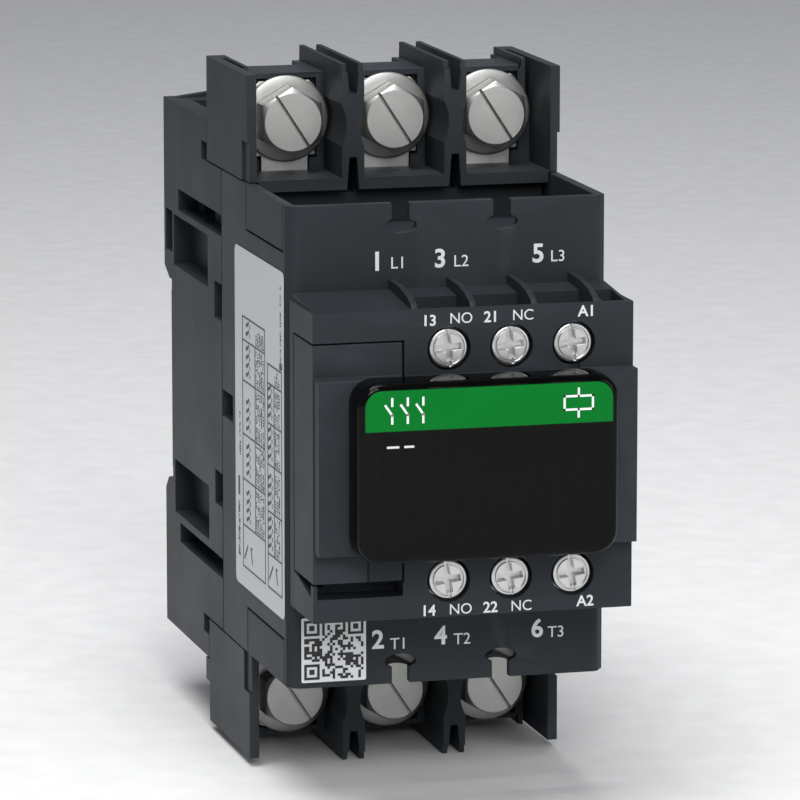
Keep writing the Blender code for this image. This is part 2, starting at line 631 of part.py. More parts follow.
def front_housing():
    radius = 1.8 * MM
    front_half = HALF - 0.5 * MM
    outer = [(-HALF, -BLOCK_REAR), (-HALF, -(BLOCK_FRONT - radius))]
    for step in range(1, 6):
        angle = math.radians(90.0 * step / 5)
        x = -front_half + radius - radius * math.cos(angle)
        outer.append((x, -(BLOCK_FRONT - radius + radius * math.sin(angle))))
    outline = outer + [(-x, y) for x, y in reversed(outer)]
    inner = HALF - SHELL_WALL
    inner_front = BLOCK_FRONT - BLOCK_WALL
    outline += [(inner, -BLOCK_REAR), (inner, -inner_front), (-inner, -inner_front), (-inner, -BLOCK_REAR)]
    shell = prism("front_housing", outline, "z", -BLOCK_HALF_HEIGHT, BLOCK_HALF_HEIGHT, PLASTIC)
    for up in (-1, 1):
        tag = "upper" if up > 0 else "lower"
        for number, x in enumerate(KEYHOLE_X):
            cut(shell, *keyhole(f"cut_key_{tag}_{number}", x, up))
        for side in (-1, 1):
            x = (side * (inner - CUT), side * (HALF + CUT))
            z = (up * (CAP_Z[0] - GAP / 2), up * (CAP_Z[1] + CUT))
            depth = (CAP_DEPTH[0] - GAP / 2, CAP_DEPTH[1] + GAP / 2)
            cut(shell, block(f"cut_cap_{tag}_{side}", x, depth, z))
    hole = STEM / 2 + 0.5 * MM
    cut(shell, block("cut_stem_front", both(hole), (inner_front - CUT, BLOCK_FRONT + CUT), both(hole)))
    for side in (-1, 1):
        x = (side * (inner - CUT), side * (HALF + CUT))
        cut(shell, block(f"cut_latch_{side}", x, (BLOCK_REAR - CUT, 53.0 * MM), both(2.25 * MM)))
    return shell


def corner_cap(name, side, up):
    x = (side * (HALF - SHELL_WALL), side * HALF)
    depth = (CAP_DEPTH[0] + GAP / 2, CAP_DEPTH[1] - GAP / 2)
    z = (up * (CAP_Z[0] + GAP / 2), up * CAP_Z[1])
    return block(name, x, depth, z, PLASTIC_LIGHT)


# ---------------------------------------------------------------- control block
def fin(name, x, up):
    rear = BLOCK_FRONT + GAP
    front = CONTROL_FRONT - 0.4 * MM
    top = up * FIN_TOP
    foot = up * (CONTROL_HALF_HEIGHT - 0.6 * MM)
    flat = 1.6 * MM
    points = [(-rear, up * (CONTROL_HALF_HEIGHT - 2 * MM)), (-rear, top), (-rear - flat, top)]
    steps = 4
    for step in range(1, steps + 1):
        angle = math.radians(90.0 * step / steps)
        y = rear + flat + (front - rear - flat) * math.sin(angle)
        points.append((-y, foot + (top - foot) * math.cos(angle)))
    points.append((-front, up * (CONTROL_HALF_HEIGHT - 2 * MM)))
    return prism(name, points, "x", x - FIN_WIDTH / 2, x + FIN_WIDTH / 2)


def ramp(name, up):
    rear = BLOCK_FRONT + GAP
    low = up * (CONTROL_HALF_HEIGHT - 1 * MM)
    edge = up * (CONTROL_HALF_HEIGHT - 0.1 * MM)
    points = [(-rear, low), (-rear, up * RAMP_TOP), (-rear - 1.0 * MM, up * RAMP_TOP)]
    points += [(-CONTROL_FRONT + 1.5 * MM, edge), (-CONTROL_FRONT + 1.5 * MM, low)]
    reach = CONTROL_WIDTH / 2 - 0.5 * MM
    return prism(name, points, "x", -reach, reach)


def control_housing():
    half = CONTROL_WIDTH / 2
    rear = BLOCK_FRONT + GAP
    z = (CONTROL_BOTTOM, CONTROL_HALF_HEIGHT)
    body = block("control_housing", both(half), (rear, CONTROL_FRONT), z, PLASTIC)
    proud = (MODULE_X, half - 0.15 * MM)
    join(body, block("form_proud", proud, (100.0 * MM, PROUD_FRONT), both(PROUD_HALF_HEIGHT)))
    for up in (-1, 1):
        tag = "upper" if up > 0 else "lower"
        join(body, ramp(f"form_ramp_{tag}", up))
    room_front = CONTROL_FRONT - 2.2 * MM
    room = (MODULE_X + 2.0 * MM, half - CONTROL_WALL)
    room_z = both(CONTROL_HALF_HEIGHT - CONTROL_WALL)
    cut(body, block("cut_contact_room", room, (rear - CUT, room_front), room_z))
    for up in (-1, 1):
        tag = "upper" if up > 0 else "lower"
        z = (up * (CONTROL_HALF_HEIGHT - 3 * MM), up * (FIN_TOP + CUT))
        for number, (first, second) in enumerate(zip(FIN_X, FIN_X[1:])):
            x = (first + FIN_WIDTH / 2, second - FIN_WIDTH / 2)
            cut(body, block(f"cut_wire_{tag}_{number}", x, (99.0 * MM, CONTROL_FRONT - 1.4 * MM), z))
        last = (FIN_X[-1] + FIN_WIDTH / 2 + 0.9 * MM, half - 1.1 * MM)
        cut(body, block(f"cut_end_{tag}", last, (99.0 * MM, CONTROL_FRONT - 1.2 * MM), z))
        for number, x in enumerate(FIN_X):
            join(body, fin(f"form_fin_{tag}_{number}", x, up))
        screw_z = CONTROL_SCREW_TOP if up > 0 else CONTROL_SCREW_BOTTOM
        for number, x in enumerate(CONTROL_SCREW_X):
            bore = [(CONTROL_BORE / 2, room_front - CUT), (CONTROL_BORE / 2, CONTROL_FRONT + CUT)]
            cut(body, turned(f"cut_screw_{tag}_{number}", bore, segments=20, centre=(x, 0.0, screw_z)))
    # Pocket for the module cover, which also wraps round the left side.
    pocket_x = (-half - CUT, MODULE_X)
    pocket_z = (MODULE_BOTTOM - GAP, MODULE_TOP + GAP)
    cut(body, block("cut_module", pocket_x, (MODULE_REAR - GAP, PROUD_FRONT + CUT), pocket_z))
    finger = (MODULE_BOTTOM - 2.6 * MM, MODULE_BOTTOM)
    finger_x = (-half + 0.7 * MM, MODULE_X - 0.2 * MM)
    cut(body, block("cut_finger", finger_x, (103.0 * MM, CONTROL_FRONT + CUT), finger))
    wedge_front = -(CONTROL_FRONT - 1.6 * MM)
    low = MODULE_BOTTOM - 2.4 * MM
    wedge = [(-MODULE_REAR, MODULE_BOTTOM), (wedge_front, MODULE_BOTTOM), (wedge_front, low)]
    cut(body, prism("cut_wedge", wedge, "x", -half - CUT, -half + 3.0 * MM))
    # Front window for the indicator, clip slots for the smoked cover and the groove below the coil screw.
    window = (MODULE_X + 1.4 * MM, 12.4 * MM)
    cut(body, block("cut_window", window, (CONTROL_FRONT - GAP, PROUD_FRONT + CUT), both(10.0 * MM)))
    hole = STEM / 2 + 0.4 * MM
    cut(body, block("cut_indicator_hole", both(hole), (room_front - CUT, PROUD_FRONT + CUT), both(hole)))
    for number, x in enumerate(COVER_TABS):
        slot = (x - TAB_WIDTH / 2 - GAP, x + TAB_WIDTH / 2 + GAP)
        tab_depth = (CONTROL_FRONT - 0.9 * MM, PROUD_FRONT + CUT)
        cut(body, block(f"cut_tab_{number}", slot, tab_depth, both(TAB_HEIGHT / 2 + GAP)))
    groove = (PROUD_HALF_HEIGHT - CUT, PROUD_HALF_HEIGHT + 1.4 * MM)
    groove_depth = (CONTROL_FRONT - 1.0 * MM, CONTROL_FRONT + CUT)
    cut(body, block("cut_groove", (15.9 * MM, 18.1 * MM), groove_depth, groove))
    return body


def module_cover():
    """The plug-in cover at the control block's left: a shell that wraps round the side."""
    half = CONTROL_WIDTH / 2
    right = MODULE_X - GAP
    x = (-half, right)
    z = (MODULE_BOTTOM, MODULE_TOP)
    cover = block("module_cover", x, (MODULE_REAR, CONTROL_FRONT), z, PLASTIC)
    proud = (-half + 0.2 * MM, right)
    join(cover, block("form_module_proud", proud, (101.0 * MM, PROUD_FRONT), both(PROUD_HALF_HEIGHT)))
    room_x = (-half + MODULE_WALL, right - MODULE_WALL)
    room_z = (MODULE_BOTTOM + MODULE_WALL, MODULE_TOP - MODULE_WALL)
    cut(cover, block("cut_module_room", room_x, (MODULE_REAR - CUT, CONTROL_FRONT - 1.8 * MM), room_z))
    seam_x = -17.9 * MM
    seam = (seam_x - GAP / 2, seam_x + GAP / 2)
    seam_z = (z[0] - CUT, -PROUD_HALF_HEIGHT)
    cut(cover, block("cut_module_seam", seam, (CONTROL_FRONT - GAP, CONTROL_FRONT + CUT), seam_z))
    return cover


def smoked_cover():
    """The clear dark hood over the front, a tray that pulls off forwards on two tabs."""
    half = COVER_WIDTH / 2
    radius = COVER_CORNER
    back = PROUD_FRONT + GAP
    edge = COVER_EDGE
    outline = rounded_outline(half, COVER_HALF_HEIGHT, radius)
    bm = bmesh.new()
    rings = []
    shoulder = COVER_FRONT - edge
    stations = ((0.0, back), (0.0, shoulder), (0.2 * MM, shoulder + 0.7 * edge), (edge, COVER_FRONT))
    for inset, depth in stations:
        scale_x = (half - inset) / half
        scale_z = (COVER_HALF_HEIGHT - inset) / COVER_HALF_HEIGHT
        rings.append([bm.verts.new((px * scale_x, -depth, pz * scale_z)) for px, pz in outline])
    count = len(outline)
    for first, second in zip(rings, rings[1:]):
        for i in range(count):
            j = (i + 1) % count
            bm.faces.new((first[i], first[j], second[j], second[i]))
    bm.faces.new(rings[0])
    bm.faces.new(rings[-1])
    cover = finish_mesh("smoked_cover", bm, SMOKE, smooth=True)
    inner = rounded_outline(half - COVER_WALL, COVER_HALF_HEIGHT - COVER_WALL, radius - COVER_WALL)
    cut(cover, prism("cut_cover_room", inner, "y", -(back - CUT), -(COVER_FRONT - COVER_WALL)))
    for number, x in enumerate(COVER_TABS):
        reach = (x - TAB_WIDTH / 2, x + TAB_WIDTH / 2)
        tab_depth = (CONTROL_FRONT - 0.5 * MM, COVER_FRONT - 0.6 * MM)
        join(cover, block(f"form_tab_{number}", reach, tab_depth, both(TAB_HEIGHT / 2)))
    return cover


def labels():
    x = (-HALF - LABEL_GAP - LABEL_THICKNESS, -HALF - LABEL_GAP)
    block("side_label", x, (55.7 * MM, 90.4 * MM), both(29.3 * MM), LABEL)
    depth = (BLOCK_FRONT + LABEL_GAP, BLOCK_FRONT + LABEL_GAP + LABEL_THICKNESS)
    block("code_sticker", (-25.3 * MM, -14.2 * MM), depth, (-39.6 * MM, -28.6 * MM), LABEL)


# ---------------------------------------------------------------- magnet
def fixed_core():
    half = CORE_WIDTH / 2
    core = block("fixed_core", both(half), (CORE_SEAT, CORE_FRONT), both(CORE_HALF_HEIGHT), STEEL)
    yoke = CORE_SEAT + CORE_YOKE
    leg = CORE_HALF_HEIGHT - CORE_LEG
    centre = CORE_CENTRE_LEG / 2
    for up in (-1, 1):
        z = (up * centre, up * leg)
        cut(core, block(f"cut_core_{up}", both(half + CUT), (yoke, CORE_FRONT + CUT), z))
    return core


def coil_parts():
    """The bobbin on the core's centre leg, and the winding between its flanges."""
    rear = CORE_SEAT + CORE_YOKE + GAP
    front = CORE_FRONT - 0.5 * MM
    flange_z = CORE_HALF_HEIGHT - CORE_LEG - GAP
    hole_x = CORE_WIDTH / 2 + GAP
    hole_z = CORE_CENTRE_LEG / 2 + GAP
    barrel_x = hole_x + BOBBIN_WALL
    barrel_z = hole_z + BOBBIN_WALL
    bobbin = block("coil_bobbin", both(BOBBIN_HALF_WIDTH), (rear, front), both(flange_z), BOBBIN_PLASTIC)
    waist = (rear + BOBBIN_WALL, front - BOBBIN_WALL)
    frame_outer = BOBBIN_HALF_WIDTH + CUT
    for side in (-1, 1):
        x = (side * barrel_x, side * frame_outer)
        cut(bobbin, block(f"cut_waist_x_{side}", x, waist, both(flange_z + CUT)))
        z = (side * barrel_z, side * (flange_z + CUT))
        cut(bobbin, block(f"cut_waist_z_{side}", both(barrel_x + CUT), waist, z))
    cut(bobbin, block("cut_bobbin_hole", both(hole_x), (rear - CUT, front + CUT), both(hole_z)))
    wound = (waist[0] + GAP, waist[1] - GAP)
    winding_x = BOBBIN_HALF_WIDTH - 0.8 * MM
    winding_z = flange_z - 0.6 * MM
    winding = prism(
        "coil_winding", rounded_outline(winding_x, winding_z, 2.5 * MM, 4), "y", -wound[0], -wound[1], COPPER
    )
    bore = (both(barrel_x + GAP), (wound[0] - CUT, wound[1] + CUT), both(barrel_z + GAP))
    inner = block("cut_winding", *bore)
    cut(winding, inner)
    return bobbin


def armature():
    half = CORE_WIDTH / 2
    depth = (ARMATURE_REAR, ARMATURE_FRONT)
    plate = block("armature", both(half), depth, both(CORE_HALF_HEIGHT), STEEL)
    for up in (-1, 1):
        z = (up * (CORE_HALF_HEIGHT - CORE_LEG - 2 * MM), up * (CORE_CENTRE_LEG / 2 + 2 * MM))
        relief = (ARMATURE_REAR - CUT, ARMATURE_REAR + 1.2 * MM)
        cut(plate, block(f"cut_armature_{up}", both(half + CUT), relief, z))
    return plate


# ---------------------------------------------------------------- moving carrier
def contact_carrier():
    half = STEM / 2
    stem = block("contact_carrier", both(half), (CARRIER_YOKE, CARRIER_FRONT), both(half), CARRIER_PLASTIC)
    yoke_x = RETURN_SPRING_X + 4.0 * MM
    yoke_depth = (CARRIER_YOKE + 0.01 * MM, CARRIER_YOKE + 3.0 * MM)
    join(stem, block("form_yoke", both(yoke_x), yoke_depth, both(7.0 * MM)))
    beam_x = HALF - SHELL_WALL - 2.4 * MM
    join(stem, block("form_beam", both(beam_x), (BEAM_REAR, BEAM_FRONT), both(BEAM_HALF_HEIGHT)))
    for pole in POLES:
        x = pole_x(pole)
        reach = (x - BRIDGE_WIDTH / 2 - GAP, x + BRIDGE_WIDTH / 2 + GAP)
        window = (BRIDGE_REAR - GAP, WINDOW_FRONT)
        cut(stem, block(f"cut_beam_window_{pole + 2}", reach, window, both(BEAM_HALF_HEIGHT + CUT)))
    join(stem, block("form_aux_arm", both(6.6 * MM), AUX_ARM, both(3.0 * MM)))
    return stem


def contact_bridge(name, x):
    end = CONTACT_Z + CONTACT_SIZE / 2 + 0.8 * MM
    depth = (BRIDGE_REAR, BRIDGE_FRONT)
    bridge = block(name, (x - BRIDGE_WIDTH / 2, x + BRIDGE_WIDTH / 2), depth, both(end), SILVER)
    for up in (-1, 1):
        reach = CONTACT_SIZE / 2
        tip_x = (x - reach, x + reach)
        tip_z = (up * (CONTACT_Z - reach), up * (CONTACT_Z + reach))
        tip_depth = (BRIDGE_REAR - BRIDGE_TIP, BRIDGE_REAR + 0.5 * MM)
        join(bridge, block(f"form_tip_{name}_{up}", tip_x, tip_depth, tip_z))
    return bridge


def aux_blade(name, side, depth):
    x = (side * (STEM / 2 + GAP), side * (STEM / 2 + GAP + 2.4 * MM))
    return block(name, x, depth, both(9.4 * MM), SILVER)


def moving_contacts():
    for pole in POLES:
        number = pole + 2
        x = pole_x(pole)
        contact_bridge(f"contact_bridge_{number}", x)
        start = (x, -(BRIDGE_FRONT + GAP), 0.0)
        wire = 0.3 * MM
        spring = (CONTACT_SPRING_RADIUS, wire, CONTACT_SPRING_LENGTH, 3)
        coil(f"contact_spring_{number}", start, (0, -1, 0), *spring)
    aux_blade("aux_blade_no", -1, (AUX_ARM[0] - GAP - AUX_BLADE, AUX_ARM[0] - GAP))
    aux_blade("aux_blade_nc", 1, (AUX_ARM[1] + GAP, AUX_ARM[1] + GAP + AUX_BLADE))
    for side, tag in ((-1, "left"), (1, "right")):
        start = CORE_FRONT - 0.5 * MM + GAP
        length = CARRIER_YOKE - start - GAP
        seat = (side * RETURN_SPRING_X, -start, 0.0)
        wire = 0.35 * MM
        coil(f"return_spring_{tag}", seat, (0, -1, 0), RETURN_SPRING_RADIUS, wire, length, 5)


# ---------------------------------------------------------------- power terminals
def power_terminal(name, pole, up):
    """The flat terminal plate that runs in to the fixed contact."""
    x = pole_x(pole)
    wide = PLATE_WIDTH / 2
    narrow = PLATE_NARROW / 2
    step = up * PLATE_STEP_Z
    top = up * PLATE_TOP_Z
    shoulder = up * (PLATE_TOP_Z - PLATE_CORNER)
    crown = wide - PLATE_CORNER
    end = up * (CONTACT_Z - CONTACT_SIZE / 2 - 0.5 * MM)
    outline = [
        (x - narrow, end),
        (x + narrow, end),
        (x + narrow, step),
        (x + wide, step),
        (x + wide, shoulder),
        (x + crown, top),
        (x - crown, top),
        (x - wide, shoulder),
        (x - wide, step),
        (x - narrow, step),
    ]
    plate = prism(name, outline, "y", -PLATE_REAR, -PLATE_FRONT, SILVER)
    bore = [(POWER_THREAD / 2 + GAP, PLATE_REAR - CUT), (POWER_THREAD / 2 + GAP, PLATE_FRONT + CUT)]
    cut(plate, turned(f"cut_{name}", bore, segments=16, centre=(x, 0.0, up * TERMINAL_Z)))
    reach = CONTACT_SIZE / 2
    pad_z = (up * (CONTACT_Z - reach), up * (CONTACT_Z + reach))
    pad_depth = (PLATE_REAR + 0.6 * MM, FIXED_CONTACT)
    join(plate, block(f"form_{name}_pad", (x - reach, x + reach), pad_depth, pad_z))
    return plate


def hex_radius(angle, across_flats):
    sector = math.radians(60.0)
    return across_flats / 2 / math.cos((angle % sector) - sector / 2)


def power_screw(name, x, z):
    """A hexagon head with a turned flat, a driver slot and a plain shank. Its origin is on its own axis."""
    segments = 24
    flat = POWER_HEX / 2 - 0.05 * MM
    slope = math.tan(math.radians(30.0))
    bm = bmesh.new()
    shank = POWER_THREAD / 2 - 0.02 * MM
    profiles = []
    profiles.append([(shank - 0.6 * MM, 44.4 * MM)] * segments)
    profiles.append([(shank, 45.0 * MM)] * segments)
    profiles.append([(shank, HEAD_REAR)] * segments)
    angles = [2 * math.pi * i / segments for i in range(segments)]
    corner = [hex_radius(angle - math.radians(30.0), POWER_HEX) for angle in angles]
    profiles.append([(radius, HEAD_REAR) for radius in corner])
    profiles.append([(radius, HEAD_FRONT - (radius - flat) * slope) for radius in corner])
    profiles.append([(flat, HEAD_FRONT)] * segments)
    rings = []
    for profile in profiles:
        ring = []
        for angle, (radius, depth) in zip(angles, profile):
            ring.append(bm.verts.new((radius * math.cos(angle), -depth, radius * math.sin(angle))))
        rings.append(ring)
    for first, second in zip(rings, rings[1:]):
        for i in range(segments):
            j = (i + 1) % segments
            bm.faces.new((first[i], first[j], second[j], second[i]))
    bm.faces.new(rings[0])
    bm.faces.new(rings[-1])
    screw = finish_mesh(name, bm, NICKEL, smooth=True)
    slot_depth = (HEAD_FRONT - 1.6 * MM, HEAD_FRONT + CUT)
    slot = block(f"cut_{name}", both(POWER_HEX), slot_depth, both(POWER_SLOT / 2))
    slot.rotation_euler = (0.0, -POWER_SLOT_ANGLE, 0.0)
    slot.location = (x, 0.0, z)
    screw.location = (x, 0.0, z)
    return cut(screw, slot)


def power_washer(name, x, z):
    """A dished washer: thin at its rim and raised round the screw."""
    rim = WASHER_DIAMETER / 2
    hole = POWER_THREAD / 2 + GAP
    profile = [
        (rim - 0.1 * MM, WASHER_REAR),
        (rim, WASHER_REAR + 0.3 * MM),
        (rim - 0.3 * MM, WASHER_REAR + 0.7 * MM),
        (rim - 1.6 * MM, WASHER_FRONT),
        (POWER_HEX / 2, WASHER_FRONT),
    ]
    washer = turned(name, profile, NICKEL, segments=24, centre=(x, 0.0, z))
    bore = [(hole, WASHER_REAR - CUT), (hole, WASHER_FRONT + CUT)]
    return cut(washer, turned(f"cut_{name}", bore, segments=16, centre=(x, 0.0, z)))


def power_terminals():
    for up, side in ((1, "line"), (-1, "load")):
        for pole in POLES:
            number = pole + 2
            x = pole_x(pole)
            power_terminal(f"{side}_terminal_{number}", pole, up)
            power_washer(f"{side}_washer_{number}", x, up * TERMINAL_Z)
            power_screw(f"{side}_screw_{number}", x, up * TERMINAL_Z)


# ---------------------------------------------------------------- control terminals
def control_screw(name, x, z):
    """A pan head with a combined cross and slot, on a captive collar. Its origin is on its own axis."""
    front = CONTROL_FRONT - CONTROL_RECESS
    head = CONTROL_HEAD / 2
    profile = [
        (CONTROL_THREAD / 2 - 0.4 * MM, 96.6 * MM),
        (CONTROL_THREAD / 2, 97.1 * MM),
        (CONTROL_THREAD / 2, front - 3.0 * MM),
        (CONTROL_COLLAR / 2, front - 3.0 * MM),
        (CONTROL_COLLAR / 2, front - 2.1 * MM),
        (head, front - 1.8 * MM),
        (head, front - 0.5 * MM),
        (head - 0.45 * MM, front),
    ]
    screw = turned(name, profile, ZINC, segments=16, centre=(x, 0.0, z))
    slots = []
    for number, (length, width, depth) in enumerate(((7.4, 0.6, 0.7), (4.4, 1.1, 1.6), (1.1, 4.4, 1.6))):
        reach = (both(length * MM / 2), (front - depth * MM, front + CUT), both(width * MM / 2))
        slot = block(f"cut_{name}_{number}", *reach)
        slot.location = (x, 0.0, z)
        slot.rotation_euler = (0.0, -math.radians(80.0), 0.0)
        slots.append(slot)
    return cut(screw, *slots)


def control_terminal(name, kind, x, z, up):
    """The clamp bar under a control screw, with its blade to the fixed contact."""
    rear = CONTROL_CLAMP_REAR
    clamp_front = 99.6 * MM
    inner = abs(z) - 3.4 * MM
    outer = abs(z) + 2.4 * MM
    blade = 1.0 * MM
    tip = 5.6 * MM
    clamp = [(clamp_front, inner), (clamp_front, outer), (rear, outer)]
    if kind == "no":
        near = AUX_ARM[0] - GAP - AUX_BLADE - STROKE - GAP
        profile = [(rear, tip), (near, tip), (near, inner), *clamp]
    elif kind == "nc":
        far = AUX_ARM[1] + 2 * GAP + AUX_BLADE
        bend = inner - 1.6 * MM
        profile = [
            (far, tip),
            (far + blade, tip),
            (far + blade, bend + blade),
            (clamp_front, bend + blade),
            (clamp_front, outer),
            (rear, outer),
            (rear, bend),
            (far, bend),
        ]
    else:
        profile = [(rear, inner), *clamp]
    outline = [(-depth, up * height) for depth, height in profile]
    half = 2.9 * MM
    terminal = prism(name, outline, "x", x - half, x + half, SILVER)
    radius = CONTROL_THREAD / 2 + GAP
    bore = [(radius, rear - CUT), (radius, clamp_front + CUT)]
    return cut(terminal, turned(f"cut_{name}", bore, segments=12, centre=(x, 0.0, z)))


def control_terminals():
    for up, z, row in ((1, CONTROL_SCREW_TOP, "top"), (-1, CONTROL_SCREW_BOTTOM, "bottom")):
        for kind, x in zip(CONTROL_NAMES, CONTROL_SCREW_X):
            control_screw(f"control_screw_{kind}_{row}", x, z)
            control_terminal(f"control_terminal_{kind}_{row}", kind, x, z, up)


def place_in_world():
    """Parents every piece and cutter to the body frame, whose shift puts the origin on the rail seat."""
    frame = bpy.data.objects.new("body_frame", None)
    bpy.context.scene.collection.objects.link(frame)
    for obj in bpy.data.objects:
        if obj is not frame:
            obj.parent = frame
    frame.matrix_world = Matrix.Translation((0.0, RAIL_SEAT_DEPTH, -RAIL_CENTRE_Z))


def main():
    clear_scene()
    rear_base()
    rail_clip()
    pole_housing()
    front_housing()
    for side, across in ((-1, "left"), (1, "right")):
        for up, height in ((1, "upper"), (-1, "lower")):
            corner_cap(f"corner_cap_{height}_{across}", side, up)
    control_housing()
    module_cover()
    smoked_cover()
    labels()
    fixed_core()
    coil_parts()
    armature()
    contact_carrier()
    moving_contacts()
    power_terminals()
    control_terminals()
    place_in_world()


main()
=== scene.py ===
"""Studio model of a three-pole rail-mounted contactor, laid out as an add-on and run as a script.

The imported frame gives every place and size. Lengths are in metres: X to the viewer's right, Y backwards
into the rail, Z up, and the origin on the rail seat. A piece's place is in its mesh.
"""

import json
import math
import random

import bpy
from mathutils import Matrix, Vector

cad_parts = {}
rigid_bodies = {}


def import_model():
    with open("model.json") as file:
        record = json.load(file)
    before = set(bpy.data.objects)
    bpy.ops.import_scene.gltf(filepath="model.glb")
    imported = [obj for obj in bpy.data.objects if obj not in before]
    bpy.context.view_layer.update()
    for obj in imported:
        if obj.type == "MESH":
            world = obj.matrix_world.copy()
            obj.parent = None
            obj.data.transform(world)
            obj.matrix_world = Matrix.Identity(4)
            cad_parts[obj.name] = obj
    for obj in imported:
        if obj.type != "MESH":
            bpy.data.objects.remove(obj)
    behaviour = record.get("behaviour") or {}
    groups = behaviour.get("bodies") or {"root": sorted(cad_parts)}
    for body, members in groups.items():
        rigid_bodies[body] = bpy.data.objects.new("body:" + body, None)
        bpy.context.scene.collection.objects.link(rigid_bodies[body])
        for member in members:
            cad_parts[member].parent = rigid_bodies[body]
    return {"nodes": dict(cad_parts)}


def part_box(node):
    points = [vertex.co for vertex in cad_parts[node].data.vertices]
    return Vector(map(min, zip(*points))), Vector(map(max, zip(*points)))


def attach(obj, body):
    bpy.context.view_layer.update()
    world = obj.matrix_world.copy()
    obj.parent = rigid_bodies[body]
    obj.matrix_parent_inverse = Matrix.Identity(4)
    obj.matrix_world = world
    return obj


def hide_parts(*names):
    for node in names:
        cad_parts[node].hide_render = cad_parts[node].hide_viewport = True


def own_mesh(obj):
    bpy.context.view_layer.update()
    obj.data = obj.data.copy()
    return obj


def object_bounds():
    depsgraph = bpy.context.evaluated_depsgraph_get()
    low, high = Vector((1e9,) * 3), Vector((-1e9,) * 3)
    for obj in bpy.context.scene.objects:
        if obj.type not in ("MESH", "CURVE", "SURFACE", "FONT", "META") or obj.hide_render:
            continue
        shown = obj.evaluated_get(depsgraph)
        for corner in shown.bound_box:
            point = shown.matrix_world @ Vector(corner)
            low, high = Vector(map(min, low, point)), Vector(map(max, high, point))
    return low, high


bl_info = {
    "name": "Rail Contactor Studio Model",
    "version": (1, 0, 0),
    "blender": (4, 5, 0),
    "location": "3D View > Sidebar > Contactor",
    "description": "Builds the mouldings, fasteners, prints and finishes of a rail-mounted contactor",
    "category": "Object",
}

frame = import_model()
CAD_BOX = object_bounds()

MM = 0.001
POLES = (1, 2, 3)
ROWS = ("line", "load")
CONTROL_PLACES = tuple((kind, row) for kind in ("no", "nc", "coil") for row in ("top", "bottom"))
MOULDINGS = ("rear_base", "pole_housing", "front_housing", "control_housing", "module_cover")
CAPS = tuple(f"corner_cap_{height}_{side}" for height in ("upper", "lower") for side in ("left", "right"))

SHELL_LOW, SHELL_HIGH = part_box("front_housing")
MIDDLE_Z = (SHELL_LOW.z + SHELL_HIGH.z) / 2
BEZEL_STEP = 3.2 * MM
CONTROL_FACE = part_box("control_housing")[0].y + BEZEL_STEP
SHELL_FACE = SHELL_LOW.y
PRINT_RISE = 0.03 * MM
PRINT_SINK = 0.02 * MM
NARROW = 0.02 * MM
HOOD_RIM = 1.15 * MM
TERMINAL_Z = 50.0 * MM
CONTROL_THREAD_RADIUS = 1.75 * MM

# Places nearer than SAME count as one, and a normal past LEVEL counts as facing along an axis.
SAME = 1e-6
LEVEL = 0.99

# Standard terminal markings: words, height, place across and up from the middle, and stroke weight, all in
# millimetres.
SHELL_MARKS = (
    ("1", 3.0, -12.2, 30.8, 0.10),
    ("L1", 1.9, -8.6, 30.5, 0.0),
    ("3", 3.0, -1.4, 30.9, 0.10),
    ("L2", 1.9, 2.2, 30.4, 0.0),
    ("5", 3.0, 15.5, 31.1, 0.10),
    ("L3", 1.9, 18.9, 30.6, 0.0),
    ("2", 3.0, -12.1, -33.1, 0.10),
    ("T1", 1.9, -8.5, -33.9, 0.0),
    ("4", 3.0, -1.2, -33.0, 0.10),
    ("T2", 1.9, 2.5, -33.7, 0.0),
    ("6", 3.0, 15.6, -32.7, 0.10),
    ("T3", 1.9, 18.9, -33.4, 0.0),
)
CONTROL_MARKS = (
    ("13", 1.75, -7.6, 23.3, 0.05),
    ("NO", 1.75, -2.2, 23.5, 0.0),
    ("21", 1.75, 2.9, 23.5, 0.05),
    ("NC", 1.75, 8.3, 23.6, 0.0),
    ("A1", 1.75, 19.2, 23.8, 0.05),
    ("14", 1.75, -7.7, -25.0, 0.05),
    ("NO", 1.75, -2.2, -25.0, 0.0),
    ("22", 1.75, 2.9, -25.0, 0.05),
    ("NC", 1.75, 8.2, -25.0, 0.0),
    ("A2", 1.75, 19.2, -24.8, 0.05),
)


# ---------------------------------------------------------------- settings
def length_setting(name, description, default, low, high):
    """A length property, from figures in millimetres."""
    return bpy.props.FloatProperty(
        name=name,
        description=description,
        default=default * MM,
        min=low * MM,
        max=high * MM,
        precision=5,
        unit="LENGTH",
    )


def colour_setting(name, description, default):
    return bpy.props.FloatVectorProperty(
        name=name,
        description=description,
        default=default,
        size=3,
        min=0.0,
        max=1.0,
        subtype="COLOR",
    )


class ContactorSizes(bpy.types.PropertyGroup):
    """Sizes of the surface detail."""

    moulding_edge: length_setting(
        "Moulding Edge Radius", "Rounding of the plastic mouldings' edges", 0.18, 0.0, 0.5
    )
    plate_edge: length_setting(
        "Plate Edge Radius", "Rounding of the stamped metal plates' edges", 0.15, 0.0, 0.4
    )
    hood_wall: length_setting("Hood Wall", "Thickness of the smoked hood's wall", 1.2, 0.6, 2.0)
    hood_corner: length_setting(
        "Hood Corner Radius", "Radius of the smoked hood's four corners in front view", 3.9, 1.5, 5.0
    )
    band_height: length_setting(
        "Band Height", "Height of the green band across the hood's top", 6.7, 2.0, 10.0
    )
    across_flats: length_setting(
        "Hexagon Across Flats", "Wrench size of the power screws", 10.4, 8.0, 11.0
    )


